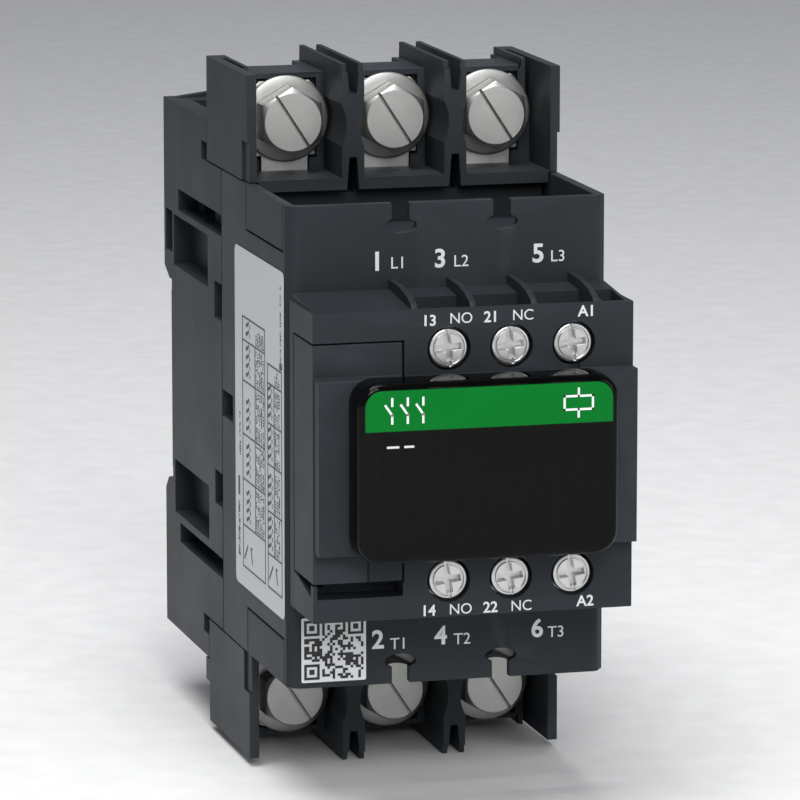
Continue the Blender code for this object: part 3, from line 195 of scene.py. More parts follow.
class ContactorColours(bpy.types.PropertyGroup):
    """Colours of the finishes."""

    housing: colour_setting("Housing", "Dark blue-grey of the mouldings", (0.0210, 0.0248, 0.0285))
    band: colour_setting("Band", "Green of the hood's printed band", (0.0, 0.145, 0.017))
    marking: colour_setting("Marking", "Pale grey of the printed terminal markings", (0.62, 0.64, 0.65))
    nickel: colour_setting("Nickel", "Satin nickel of the power screws and washers", (0.47, 0.47, 0.455))


def sizes():
    return bpy.context.scene.contactor_sizes


def colours():
    return bpy.context.scene.contactor_colours


# ---------------------------------------------------------------- modelling helpers
def focus(obj):
    """Makes one object the only selected and active one."""
    bpy.ops.object.select_all(action="DESELECT")
    obj.select_set(True)
    bpy.context.view_layer.objects.active = obj


def settle(obj):
    """Puts an object's place into its mesh."""
    focus(obj)
    bpy.ops.object.transform_apply(location=True, rotation=True, scale=True)
    return obj


def apply_all(obj):
    focus(obj)
    for modifier in list(obj.modifiers):
        bpy.ops.object.modifier_apply(modifier=modifier.name)
    return obj


def smooth(obj, angle=32.0):
    focus(obj)
    bpy.ops.object.shade_smooth_by_angle(angle=math.radians(angle))
    return obj


def flatten_faces(obj):
    """Leans the shading towards the large faces, so that only the rounded edges curve."""
    step = obj.modifiers.new("flat", "WEIGHTED_NORMAL")
    step.weight = 50
    step.keep_sharp = True
    return apply_all(obj)


def select_faces(obj, wanted):
    """In edit mode, selects just the faces whose centre and normal pass a test."""
    bpy.ops.mesh.select_mode(type="FACE")
    bpy.ops.mesh.select_all(action="DESELECT")
    bpy.ops.object.mode_set(mode="OBJECT")
    for face in obj.data.polygons:
        face.select = wanted(face.center, face.normal)
    bpy.ops.object.mode_set(mode="EDIT")


def select_edges(obj, wanted):
    """In edit mode, selects just the edges whose two ends pass a test."""
    bpy.ops.mesh.select_mode(type="EDGE")
    bpy.ops.mesh.select_all(action="DESELECT")
    bpy.ops.object.mode_set(mode="OBJECT")
    points = obj.data.vertices
    for edge in obj.data.edges:
        first, second = (points[i].co for i in edge.vertices)
        edge.select = wanted(first, second)
    bpy.ops.object.mode_set(mode="EDIT")


def round_corners(obj, axis, radius, segments):
    """In edit mode, rounds the edges that run along one axis: 0 for X, 1 for Y."""
    others = [i for i in range(3) if i != axis]
    select_edges(obj, lambda a, b: all(abs(a[i] - b[i]) < SAME for i in others))
    bpy.ops.mesh.bevel(offset=radius, segments=segments, affect="EDGES")


def added(operator, name, **shape):
    """Adds one primitive under a name, with its place in its mesh."""
    bpy.ops.object.select_all(action="DESELECT")
    operator(**shape)
    obj = bpy.context.active_object
    obj.name = name
    return settle(obj)


def box_piece(name, low, high):
    """A block between two corners."""
    low, high = Vector(low), Vector(high)
    cube = bpy.ops.mesh.primitive_cube_add
    return added(cube, name, size=1.0, location=(low + high) / 2, scale=high - low)


def turned_piece(name, centre, rings, segments=64):
    """A solid turned about a line along Y through centre. The rings are (radius, y) pairs, rear to front."""
    x, z = centre
    (first, start), (second, end) = rings[:2]
    obj = added(
        bpy.ops.mesh.primitive_cone_add,
        name,
        vertices=segments,
        radius1=first,
        radius2=second,
        depth=start - end,
        location=(x, (start + end) / 2, z),
        rotation=(math.pi / 2, 0.0, 0.0),
    )
    bpy.ops.object.mode_set(mode="EDIT")
    for radius, y in rings[2:]:
        here = end
        select_faces(obj, lambda at, normal: normal.y < -LEVEL and abs(at.y - here) < SAME)
        bpy.ops.mesh.extrude_region_move(TRANSFORM_OT_translate={"value": (0.0, y - end, 0.0)})
        share = radius / second
        bpy.ops.transform.resize(value=(share, 1.0, share), center_override=(x, y, z))
        second, end = radius, y
    bpy.ops.object.mode_set(mode="OBJECT")
    return obj


def combine(target, tool, operation):
    """Applies a Boolean of the tool to the target, and removes the tool."""
    step = target.modifiers.new("form", "BOOLEAN")
    step.operation = operation
    step.solver = "EXACT"
    step.object = tool
    apply_all(target)
    bpy.data.objects.remove(tool)
    return target


def round_edges(obj, width, segments=2, angle=28.0, clamp=False):
    step = obj.modifiers.new("rounding", "BEVEL")
    step.width = width
    step.segments = segments
    step.limit_method = "ANGLE"
    step.angle_limit = math.radians(angle)
    step.use_clamp_overlap = clamp
    step.harden_normals = False
    return apply_all(obj)


def weigh_edges(mesh, width, angle=28.0, share=0.4):
    """Weighs each sharp edge for rounding: full, or less where the faces beside it are narrow."""
    beside = {}
    for face in mesh.polygons:
        for key in face.edge_keys:
            beside.setdefault(key, []).append(face)
    weights = mesh.attributes.new("bevel_weight_edge", "FLOAT", "EDGE")
    points = [vertex.co for vertex in mesh.vertices]
    for edge in mesh.edges:
        faces = beside.get(edge.key, [])
        start, end = (points[i] for i in edge.vertices)
        along = (end - start).normalized()
        if len(faces) != 2 or faces[0].normal.angle(faces[1].normal, 0.0) < math.radians(angle):
            continue
        offsets = [points[i] - start for face in faces for i in face.vertices if i not in edge.key]
        reaches = [(offset - along * offset.dot(along)).length for offset in offsets]
        room = min((reach for reach in reaches if reach > NARROW), default=width)
        weights.data[edge.index].value = min(1.0, share * room / width)


def softened_copy(node, suffix, width, segments=2):
    """A welded copy of a frame piece with rounded edges and flat faces."""
    bpy.ops.object.select_all(action="DESELECT")
    source = frame["nodes"][node]
    source.select_set(True)
    bpy.context.view_layer.objects.active = source
    bpy.ops.object.duplicate()
    piece = bpy.context.active_object
    piece.name = f"{node}_{suffix}"
    bpy.ops.object.parent_clear(type="CLEAR_KEEP_TRANSFORM")
    for key in list(piece.keys()):
        del piece[key]
    bpy.ops.object.mode_set(mode="EDIT")
    bpy.ops.mesh.select_all(action="SELECT")
    bpy.ops.mesh.remove_doubles(threshold=NARROW)
    bpy.ops.mesh.tris_convert_to_quads(face_threshold=math.radians(1.0), shape_threshold=math.pi)
    bpy.ops.object.mode_set(mode="OBJECT")
    bpy.ops.mesh.customdata_custom_splitnormals_clear()
    weigh_edges(piece.data, width)
    step = piece.modifiers.new("rounding", "BEVEL")
    step.width = width
    step.segments = segments
    step.limit_method = "WEIGHT"
    step.use_clamp_overlap = True
    step.loop_slide = False
    apply_all(piece)
    return flatten_faces(smooth(piece, 50.0))


def copied(obj, name, shift):
    """A copy with its own mesh, moved by a shift."""
    focus(obj)
    bpy.ops.object.duplicate()
    twin = bpy.context.active_object
    twin.name = name
    bpy.ops.transform.translate(value=shift)
    return settle(twin)


def joined(name, parts):
    bpy.ops.object.select_all(action="DESELECT")
    for part in parts:
        part.select_set(True)
    bpy.context.view_layer.objects.active = parts[0]
    bpy.ops.object.join()
    whole = bpy.context.active_object
    whole.name = name
    return whole


def fit_out(obj, body, slot, finish, *nodes):
    """Gives a made piece its finish, its body and the frame pieces that it stands for; its slot is not used.
    """
    if finish:
        obj.data.materials.clear()
        obj.data.materials.append(finish)
    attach(obj, body)
    if nodes:
        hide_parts(*nodes)
    return obj


# ---------------------------------------------------------------- shader node groups
def new_group(name, inputs, outputs):
    """A node group and whether it is new: empty, with inputs at their defaults, None for the vector."""
    found = bpy.data.node_groups.get(name)
    if found:
        return found, False
    group = bpy.data.node_groups.new(name, "ShaderNodeTree")
    for label, value in inputs.items():
        kind = "NodeSocketVector" if value is None else "NodeSocketFloat"
        socket = group.interface.new_socket(name=label, in_out="INPUT", socket_type=kind)
        if value is not None:
            socket.default_value = value
    for label in outputs:
        group.interface.new_socket(name=label, in_out="OUTPUT", socket_type="NodeSocketFloat")
    return group, True


class Wiring:
    """Short ways to add and link nodes in one node tree."""

    def __init__(self, tree):
        self.tree = tree

    def add(self, kind, **settings):
        node = self.tree.nodes.new(kind)
        for key, value in settings.items():
            setattr(node, key, value)
        return node

    def link(self, source, target):
        self.tree.links.new(source, target)

    def math(self, operation, first, second=None, clamp=False):
        node = self.add("ShaderNodeMath", operation=operation, use_clamp=clamp)
        for socket, value in zip(node.inputs, (first, second)):
            if value is None:
                continue
            if isinstance(value, (int, float)):
                socket.default_value = value
            else:
                self.link(value, socket)
        return node.outputs[0]

    def span(self, value, low, high, to_low=0.0, to_high=1.0):
        node = self.add("ShaderNodeMapRange")
        self.link(value, node.inputs["Value"])
        for label, number in (("From Min", low), ("From Max", high), ("To Min", to_low), ("To Max", to_high)):
            node.inputs[label].default_value = number
        return node.outputs["Result"]

    def noise(self, vector, scale, detail=2.0):
        node = self.add("ShaderNodeTexNoise")
        node.inputs["Detail"].default_value = detail
        self.link(vector, node.inputs["Vector"])
        if isinstance(scale, (int, float)):
            node.inputs["Scale"].default_value = scale
        else:
            self.link(scale, node.inputs["Scale"])
        return node.outputs["Fac"]

    def blend(self, share, first, second, kind="MIX"):
        node = self.add("ShaderNodeMix", data_type="RGBA", blend_type=kind)
        colour_inputs = [socket for socket in node.inputs if socket.type == "RGBA"]
        for socket, value in zip((node.inputs[0], *colour_inputs), (share, first, second)):
            if isinstance(value, bpy.types.NodeSocket):
                self.link(value, socket)
            else:
                socket.default_value = value
        return [socket for socket in node.outputs if socket.type == "RGBA"][0]


def group_ends(group):
    wiring = Wiring(group)
    start = wiring.add("NodeGroupInput")
    end = wiring.add("NodeGroupOutput")
    return wiring, start, end


def grain_group():
    """Spark-eroded mould texture: a fine height, and a slow tone from 0 to 1."""
    group, fresh = new_group(
        "mould_grain",
        {"Vector": None, "Scale": 2600.0, "Cloud": 55.0},
        ("Height", "Tone"),
    )
    if fresh:
        wiring, start, end = group_ends(group)
        fine = wiring.noise(start.outputs["Vector"], start.outputs["Scale"], 3.0)
        slow = wiring.noise(start.outputs["Vector"], start.outputs["Cloud"], 4.0)
        wiring.link(fine, end.inputs["Height"])
        wiring.link(wiring.span(slow, 0.3, 0.7), end.inputs["Tone"])
    return group


def wear_and_highlight_group():
    """Handling wear and painted highlight: a mask on convex edges, broken up by noise."""
    group, fresh = new_group("edge_wear_and_sheen", {"Vector": None, "Amount": 0.5}, ("Mask",))
    if fresh:
        wiring, start, end = group_ends(group)
        geometry = wiring.add("ShaderNodeNewGeometry")
        edge = wiring.span(geometry.outputs["Pointiness"], 0.52, 0.62)
        patches = wiring.span(wiring.noise(start.outputs["Vector"], 160.0, 5.0), 0.35, 0.65, 0.35, 1.0)
        broken = wiring.math("MULTIPLY", edge, patches)
        mask = wiring.math("MULTIPLY", broken, start.outputs["Amount"], clamp=True)
        wiring.link(mask, end.inputs["Mask"])
    return group


def lathe_group():
    """Turning marks about the nearest axis of a two-row pattern of screws along Y."""
    group, fresh = new_group(
        "lathe_marks",
        {
            "Vector": None,
            "First X": 0.0,
            "Pitch": 0.018,
            "Middle Z": 0.0,
            "Half Height": 0.05,
            "Scale": 2500.0,
        },
        ("Height", "Tone"),
    )
    if fresh:
        wiring, start, end = group_ends(group)
        parts = wiring.add("ShaderNodeSeparateXYZ")
        wiring.link(start.outputs["Vector"], parts.inputs[0])
        across = wiring.math("SUBTRACT", parts.outputs["X"], start.outputs["First X"])
        steps = wiring.math("ROUND", wiring.math("DIVIDE", across, start.outputs["Pitch"]))
        local_x = wiring.math("SUBTRACT", across, wiring.math("MULTIPLY", steps, start.outputs["Pitch"]))
        up = wiring.math("ABSOLUTE", wiring.math("SUBTRACT", parts.outputs["Z"], start.outputs["Middle Z"]))
        local_z = wiring.math("SUBTRACT", up, start.outputs["Half Height"])
        squares = wiring.math("ADD", wiring.math("POWER", local_x, 2.0), wiring.math("POWER", local_z, 2.0))
        radius = wiring.math("SQRT", squares)
        ring = wiring.add("ShaderNodeCombineXYZ")
        wiring.link(radius, ring.inputs["X"])
        marks = wiring.noise(ring.outputs[0], start.outputs["Scale"], 4.0)
        wiring.link(marks, end.inputs["Height"])
        wiring.link(wiring.span(marks, 0.35, 0.65), end.inputs["Tone"])
    return group


def bands_group():
    """Even bands along one axis, for stacked sheets and wound wire: a height and a tone."""
    group, fresh = new_group("even_bands", {"Vector": None, "Scale": 1000.0}, ("Height", "Tone"))
    if fresh:
        wiring, start, end = group_ends(group)
        wave = wiring.add("ShaderNodeTexWave", wave_type="BANDS", bands_direction="X", wave_profile="SIN")
        wiring.link(start.outputs["Vector"], wave.inputs["Vector"])
        wiring.link(start.outputs["Scale"], wave.inputs["Scale"])
        speckle = wiring.noise(start.outputs["Vector"], 900.0, 2.0)
        wiring.link(wave.outputs["Fac"], end.inputs["Height"])
        wiring.link(wiring.math("MULTIPLY", wave.outputs["Fac"], speckle), end.inputs["Tone"])
    return group


# ---------------------------------------------------------------- finishes
class Finish:
    """A Principled material on Object coordinates, with its wiring at hand."""

    def __init__(self, name, roughness=0.5, metallic=0.0):
        self.made = bpy.data.materials.new(name)
        self.made.use_nodes = True
        self.wiring = Wiring(self.made.node_tree)
        self.shader = self.made.node_tree.nodes["Principled BSDF"]
        self.shader.inputs["Metallic"].default_value = metallic
        self.shader.inputs["Roughness"].default_value = roughness
        self.vector = self.wiring.add("ShaderNodeTexCoord").outputs["Object"]

    def group(self, group, **values):
        node = self.wiring.add("ShaderNodeGroup", node_tree=group)
        self.wiring.link(self.vector, node.inputs["Vector"])
        for label, value in values.items():
            node.inputs[label.replace("_", " ")].default_value = value
        return node

    def feed(self, socket, value):
        self.wiring.link(value, self.shader.inputs[socket])

    def bump(self, height, strength, distance):
        node = self.wiring.add("ShaderNodeBump")
        node.inputs["Strength"].default_value = strength
        node.inputs["Distance"].default_value = distance
        self.wiring.link(height, node.inputs["Height"])
        self.feed("Normal", node.outputs["Normal"])


def shade(colour, factor):
    return (*(min(1.0, channel * factor) for channel in colour), 1.0)


def known(name):
    return bpy.data.materials.get(name)


def moulded_plastic(name, colour, roughness=0.46, grain=2600.0, wear_and_highlight=0.5):
    """Glass-filled plastic: fine grain, slow clouding, and paler edges that are partly handling wear and
    partly painted highlight.
    """
    if known(name):
        return known(name)
    finish = Finish(name, roughness)
    grained = finish.group(grain_group(), Scale=grain)
    worn_and_lit = finish.group(wear_and_highlight_group(), Amount=wear_and_highlight)
    wiring = finish.wiring
    clouded = wiring.blend(grained.outputs["Tone"], shade(colour, 0.93), shade(colour, 1.07))
    # Convex edges lightened toward 2.1 times the colour: partly handling wear, partly painted highlight.
    finish.feed("Base Color", wiring.blend(worn_and_lit.outputs["Mask"], clouded, shade(colour, 2.1)))
    rough = wiring.span(grained.outputs["Tone"], 0.0, 1.0, roughness - 0.03, roughness + 0.04)
    finish.feed("Roughness", rough)
    finish.bump(grained.outputs["Height"], 0.22, 0.05 * MM)
    finish.shader.inputs["Specular IOR Level"].default_value = 0.10
    return finish.made


def turned_metal(name, colour, roughness, rows):
    """Plated, turned metal with faint lathe marks about each screw's own axis."""
    if known(name):
        return known(name)
    finish = Finish(name, roughness, 1.0)
    marks = finish.group(lathe_group(), **rows)
    cloud = finish.group(grain_group(), Scale=700.0, Cloud=220.0)
    wiring = finish.wiring
    tone = wiring.blend(marks.outputs["Tone"], shade(colour, 0.95), shade(colour, 1.04))
    finish.feed("Base Color", wiring.blend(cloud.outputs["Tone"], tone, shade(colour, 0.90)))
    finish.feed("Roughness", wiring.span(marks.outputs["Tone"], 0.0, 1.0, roughness - 0.04, roughness + 0.05))
    finish.bump(marks.outputs["Height"], 0.10, 0.02 * MM)
    return finish.made


def stamped_metal(name, colour, roughness, grain=500.0):
    """Stamped and plated sheet metal: clouded colour with a soft grain, and paler edges that are partly wear
    and partly painted highlight.
    """
    if known(name):
        return known(name)
    finish = Finish(name, roughness, 1.0)
    cloud = finish.group(grain_group(), Scale=grain, Cloud=260.0)
    worn_and_lit = finish.group(wear_and_highlight_group(), Amount=0.35)
    wiring = finish.wiring
    tone = wiring.blend(cloud.outputs["Tone"], shade(colour, 0.90), shade(colour, 1.05))
    # Convex edges lightened toward 1.3 times the colour: partly wear, partly painted highlight.
    finish.feed("Base Color", wiring.blend(worn_and_lit.outputs["Mask"], tone, shade(colour, 1.3)))
    finish.feed("Roughness", wiring.span(cloud.outputs["Tone"], 0.0, 1.0, roughness - 0.05, roughness + 0.06))
    finish.bump(cloud.outputs["Height"], 0.12, 0.03 * MM)
    return finish.made


def banded(name, colour, roughness, metallic, scale, turn=(0.0, 0.0, 0.0)):
    """A stack or winding whose bands run across one axis."""
    if known(name):
        return known(name)
    finish = Finish(name, roughness, metallic)
    mapping = finish.wiring.add("ShaderNodeMapping")
    mapping.inputs["Rotation"].default_value = turn
    finish.wiring.link(finish.vector, mapping.inputs["Vector"])
    finish.vector = mapping.outputs["Vector"]
    bands = finish.group(bands_group(), Scale=scale)
    wiring = finish.wiring
    finish.feed("Base Color", wiring.blend(bands.outputs["Tone"], shade(colour, 0.65), shade(colour, 1.15)))
    finish.feed("Roughness", wiring.span(bands.outputs["Tone"], 0.0, 1.0, roughness + 0.08, roughness - 0.05))
    finish.bump(bands.outputs["Height"], 0.5, 0.08 * MM)
    return finish.made


def printed(name, colour, roughness=0.5, gloss=0.3):
    """Ink or film: an even colour with a slight mottle in tone and gloss."""
    if known(name):
        return known(name)
    finish = Finish(name, roughness)
    cloud = finish.group(grain_group(), Scale=1800.0, Cloud=140.0)
    wiring = finish.wiring
    finish.feed("Base Color", wiring.blend(cloud.outputs["Tone"], shade(colour, 0.96), shade(colour, 1.03)))
    finish.feed("Roughness", wiring.span(cloud.outputs["Tone"], 0.0, 1.0, roughness - 0.05, roughness + 0.05))
    finish.bump(cloud.outputs["Height"], 0.05, 0.02 * MM)
    finish.shader.inputs["Specular IOR Level"].default_value = gloss
    return finish.made


def smoked_plastic():
    """Dark see-through polycarbonate with a polished, slightly smudged face."""
    name = "smoked_polycarbonate"
    if known(name):
        return known(name)
    finish = Finish(name, 0.08)
    cloud = finish.group(grain_group(), Scale=300.0, Cloud=60.0)
    finish.shader.inputs["Base Color"].default_value = (0.050, 0.052, 0.056, 1.0)
    finish.shader.inputs["Transmission Weight"].default_value = 1.0
    finish.shader.inputs["IOR"].default_value = 1.22
    finish.shader.inputs["Specular IOR Level"].default_value = 0.5
    finish.feed("Roughness", finish.wiring.span(cloud.outputs["Tone"], 0.0, 1.0, 0.05, 0.11))
    return finish.made


def housing_finish():
    return moulded_plastic("housing_polyamide", colours().housing)


def cap_finish():
    return moulded_plastic("cap_polyamide", [channel * 1.12 for channel in colours().housing], 0.5)


def nickel_finish():
    middle = (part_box("line_screw_2")[0].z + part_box("load_screw_2")[1].z) / 2
    rows = {"First_X": 0.0, "Pitch": pole_pitch(), "Middle_Z": middle, "Half_Height": TERMINAL_Z}
    return turned_metal("satin_nickel", colours().nickel, 0.44, rows)


def zinc_finish():
    first, second = control_centre("no", "top"), control_centre("nc", "top")
    lower = control_centre("no", "bottom")
    rows = {
        "First_X": first[0],
        "Pitch": second[0] - first[0],
        "Middle_Z": (first[1] + lower[1]) / 2,
        "Half_Height": (first[1] - lower[1]) / 2,
    }
    return turned_metal("bright_zinc", (0.60, 0.60, 0.59), 0.30, rows)


def plate_finish():
    return stamped_metal("tinned_copper", (0.56, 0.56, 0.54), 0.40)


def marking_finish():
    return printed("marking_ink", colours().marking, 0.55)


# ---------------------------------------------------------------- places read from the frame
def centre_of(node):
    low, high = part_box(node)
    return (low + high) / 2


def power_nodes(kind):
    return [f"{row}_{kind}_{pole}" for row in ROWS for pole in POLES]


def pole_pitch():
    return centre_of("line_screw_3").x - centre_of("line_screw_2").x


def control_centre(kind, row):
    middle = centre_of(f"control_screw_{kind}_{row}")
    return middle.x, middle.z


# ---------------------------------------------------------------- pieces
def make_mouldings():
    width = sizes().moulding_edge
    for node in MOULDINGS:
        shell = softened_copy(node, "shell", width)
        fit_out(shell, "root", "housing_plastic", housing_finish(), node)
    for node in CAPS:
        cap = softened_copy(node, "insert", width)
        fit_out(cap, "root", "cap_plastic", cap_finish(), node)


def make_hood():
    """The smoked hood: a rounded tray with its front rim eased, hollowed from behind, and a printed band."""
    low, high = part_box("smoked_cover")
    control_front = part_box("control_housing")[0].y
    back = control_front - 0.3 * MM
    front = low.y + 0.05 * MM
    wall = sizes().hood_wall
    hood = box_piece("smoked_hood", (low.x, front, low.z), (high.x, back, high.z))
    bpy.ops.object.mode_set(mode="EDIT")
    round_corners(hood, 1, sizes().hood_corner, 10)
    select_faces(hood, lambda at, normal: normal.y < -0.9)
    bpy.ops.mesh.bevel(offset=HOOD_RIM, segments=5, affect="EDGES")
    select_faces(hood, lambda at, normal: normal.y > 0.9)
    bpy.ops.mesh.inset(thickness=wall)
    bpy.ops.mesh.extrude_region_move(TRANSFORM_OT_translate={"value": (0.0, front - back + wall, 0.0)})
    bpy.ops.mesh.bevel(offset=0.4 * MM, segments=2, affect="EDGES")
    edge = high.z - HOOD_RIM - sizes().band_height
    select_faces(hood, lambda at, normal: normal.y < -LEVEL and at.y < front + 1e-5)
    bpy.ops.mesh.bisect(plane_co=(0.0, front, edge), plane_no=(0.0, 0.0, 1.0))
    bpy.ops.object.mode_set(mode="OBJECT")
    smooth(hood)
    hood.data.materials.append(smoked_plastic())
    hood.data.materials.append(printed("band_green", colours().band, 0.42, 0.08))
    for face in hood.data.polygons:
        if face.normal.y < -LEVEL and face.center.y < front + 1e-5 and face.center.z > edge:
            face.material_index = 1
    fit_out(hood, "cover", "smoked_plastic", None, "smoked_cover")
    make_band_symbols(front, edge, high.z - HOOD_RIM)
    make_hood_insides()


def make_hood_insides():
    """What shows faintly through the hood: a display plate, two panel edges and a plug's cross hole."""
    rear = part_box("control_housing")[0].y
    sunk = rear + BEZEL_STEP + 0.3 * MM
    low = (-9.6 * MM, sunk - 0.4 * MM, MIDDLE_Z - 2.0 * MM)
    display = box_piece("display_plate", low, (-4.7 * MM, sunk, MIDDLE_Z + 5.0 * MM))
    fit_out(display, "root", "housing_plastic", printed("display_black", (0.006, 0.006, 0.007), 0.25))
    marks = (
        (-17.35, -3.3, 0.5, 18.6),
        (13.15, -3.3, 0.5, 18.6),
        (17.4, -9.6, 1.6, 0.5),
        (17.4, -9.6, 0.5, 1.6),
    )
    strips = []
    for number, (across, up, wide, tall) in enumerate(marks):
        x, z = across * MM, MIDDLE_Z + up * MM
        half = Vector((wide / 2 * MM, 0.0, tall / 2 * MM))
        front = rear - (0.15 + 0.02 * number) * MM
        strips.append(box_piece("strip", Vector((x, front, z)) - half, Vector((x, rear, z)) + half))
    grey = printed("panel_grey", (0.16, 0.17, 0.18), 0.4)
    fit_out(joined("hood_inner_marks", strips), "root", "housing_plastic", grey)


def flat_bar(start, end, rear, front, width=0.36 * MM):
    """A straight printed stroke on an X-Z face, from one point to another."""
    (x0, z0), (x1, z1) = start, end
    half = width / 2
    stroke = box_piece("stroke", (-half, front, -half), (math.hypot(x1 - x0, z1 - z0) + half, rear, half))
    turn = Matrix.Rotation(-math.atan2(z1 - z0, x1 - x0), 4, "Y")
    stroke.matrix_world = Matrix.Translation((x0, 0.0, z0)) @ turn
    return settle(stroke)


def make_band_symbols(face, low_z, high_z):
    """Contact symbols on the green band, in place of any name: three pole contacts and a coil."""
    rear = face + PRINT_SINK
    front = face - PRINT_RISE
    middle = (low_z + high_z) / 2
    lines = []
    for number in range(3):
        x = -16.4 + 2.6 * number
        lines.append(((x, -2.0), (x, -0.7)))
        lines.append(((x, -0.7), (x - 1.1, 0.9)))
        lines.append(((x, 0.9), (x, 2.0)))
    near, far, half = 12.6, 17.4, 1.1
    centre = (near + far) / 2
    for up in (-1, 1):
        lines.append(((near, up * half), (far, up * half)))
        lines.append(((centre, up * half), (centre, up * 2.3)))
    for x in (near, far):
        lines.append(((x, -half), (x, half)))
    strokes = []
    for (x0, z0), (x1, z1) in lines:
        start = (x0 * MM, middle + z0 * MM)
        strokes.append(flat_bar(start, (x1 * MM, middle + z1 * MM), rear, front))
    white = printed("band_white", (0.80, 0.82, 0.80), 0.4)
    fit_out(joined("band_symbols", strokes), "cover", "label", white)
    z = low_z - 2.6 * MM
    spans = ((-17.1, -15.4), (-14.2, -12.9))
    dashes = [flat_bar((x0 * MM, z), (x1 * MM, z), rear, front) for x0, x1 in spans]
    fit_out(joined("hood_status_mark", dashes), "cover", "label", marking_finish())


def make_power_screws():
    """Hexagon heads turned to a round face, slotted, with a grooved shank."""
    flats = sizes().across_flats
    sample = "line_screw_2"
    low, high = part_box(sample)
    centre = centre_of(sample)
    x, z = centre.x, centre.z
    front = low.y
    rear = front + 4.4 * MM
    half = flats / 2
    head = added(
        bpy.ops.mesh.primitive_cylinder_add,
        "head",
        vertices=6,
        radius=half / math.cos(math.radians(30.0)),
        depth=rear - front,
        location=(x, (front + rear) / 2, z),
        rotation=(math.pi / 2, 0.0, 0.0),
    )
    slope = math.tan(math.radians(32.0))
    face = half - 0.28 * MM
    outer = half * 1.3
    crown = turned_piece(
        "crown", (x, z), [(outer, rear + 1 * MM), (outer, front + (outer - face) * slope), (face, front)], 96
    )
    combine(head, crown, "INTERSECT")
    slot = box_piece("slot", (-flats, -1.5 * MM, -0.26 * MM), (flats, 1.6 * MM, 0.26 * MM))
    slot.matrix_world = Matrix.Translation((x, front, z)) @ Matrix.Rotation(math.radians(57.0), 4, "Y")
    settle(slot)
    combine(head, slot, "DIFFERENCE")
    round_edges(head, 0.06 * MM, 2, 40.0)
    crest, root, pitch = 2.9 * MM, 2.55 * MM, 1.0 * MM
    rings = [(2.3 * MM, high.y), (crest, high.y - 0.6 * MM)]
    place = high.y - 0.6 * MM
    while place - pitch > rear + 0.4 * MM:
        rings += [(root, place - 0.5 * MM), (crest, place - pitch)]
        place -= pitch
    rings.append((crest, rear - 0.5 * MM))
    shank = turned_piece("shank", (x, z), rings, 32)
    combine(head, shank, "UNION")
    flatten_faces(smooth(head, 25.0))
    for node in power_nodes("screw"):
        screw = copied(head, f"{node}_turned", centre_of(node) - centre)
        fit_out(screw, node, "nickel_steel", nickel_finish(), node)
    bpy.data.objects.remove(head)


def make_power_washers():
    """Dished washers with a rolled rim."""
    sample = "line_washer_2"
    low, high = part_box(sample)
    centre = centre_of(sample)
    rim = (high.x - low.x) / 2
    rear = high.y
    front = low.y
    rings = [
        (rim - 0.10 * MM, rear),
        (rim, rear - 0.15 * MM),
        (rim, rear - 0.70 * MM),
        (rim - 0.08 * MM, rear - 0.86 * MM),
        (rim - 0.25 * MM, rear - 0.95 * MM),
        (rim - 1.90 * MM, front),
    ]
    ring = turned_piece("ring", (centre.x, centre.z), rings, 96)
    hole = turned_piece("hole", (centre.x, centre.z), [(3.3 * MM, rear + MM), (3.3 * MM, front - MM)], 48)
    combine(ring, hole, "DIFFERENCE")
    flatten_faces(smooth(ring, 40.0))
    for node in power_nodes("washer"):
        washer = copied(ring, f"{node}_dished", centre_of(node) - centre)
        fit_out(washer, "root", "nickel_steel", nickel_finish(), node)
    bpy.data.objects.remove(ring)


def make_terminal_plates():
    width = sizes().plate_edge
    for node in power_nodes("terminal"):
        plate = softened_copy(node, "plate", width)
        fit_out(plate, "root", "contact_copper", plate_finish(), node)


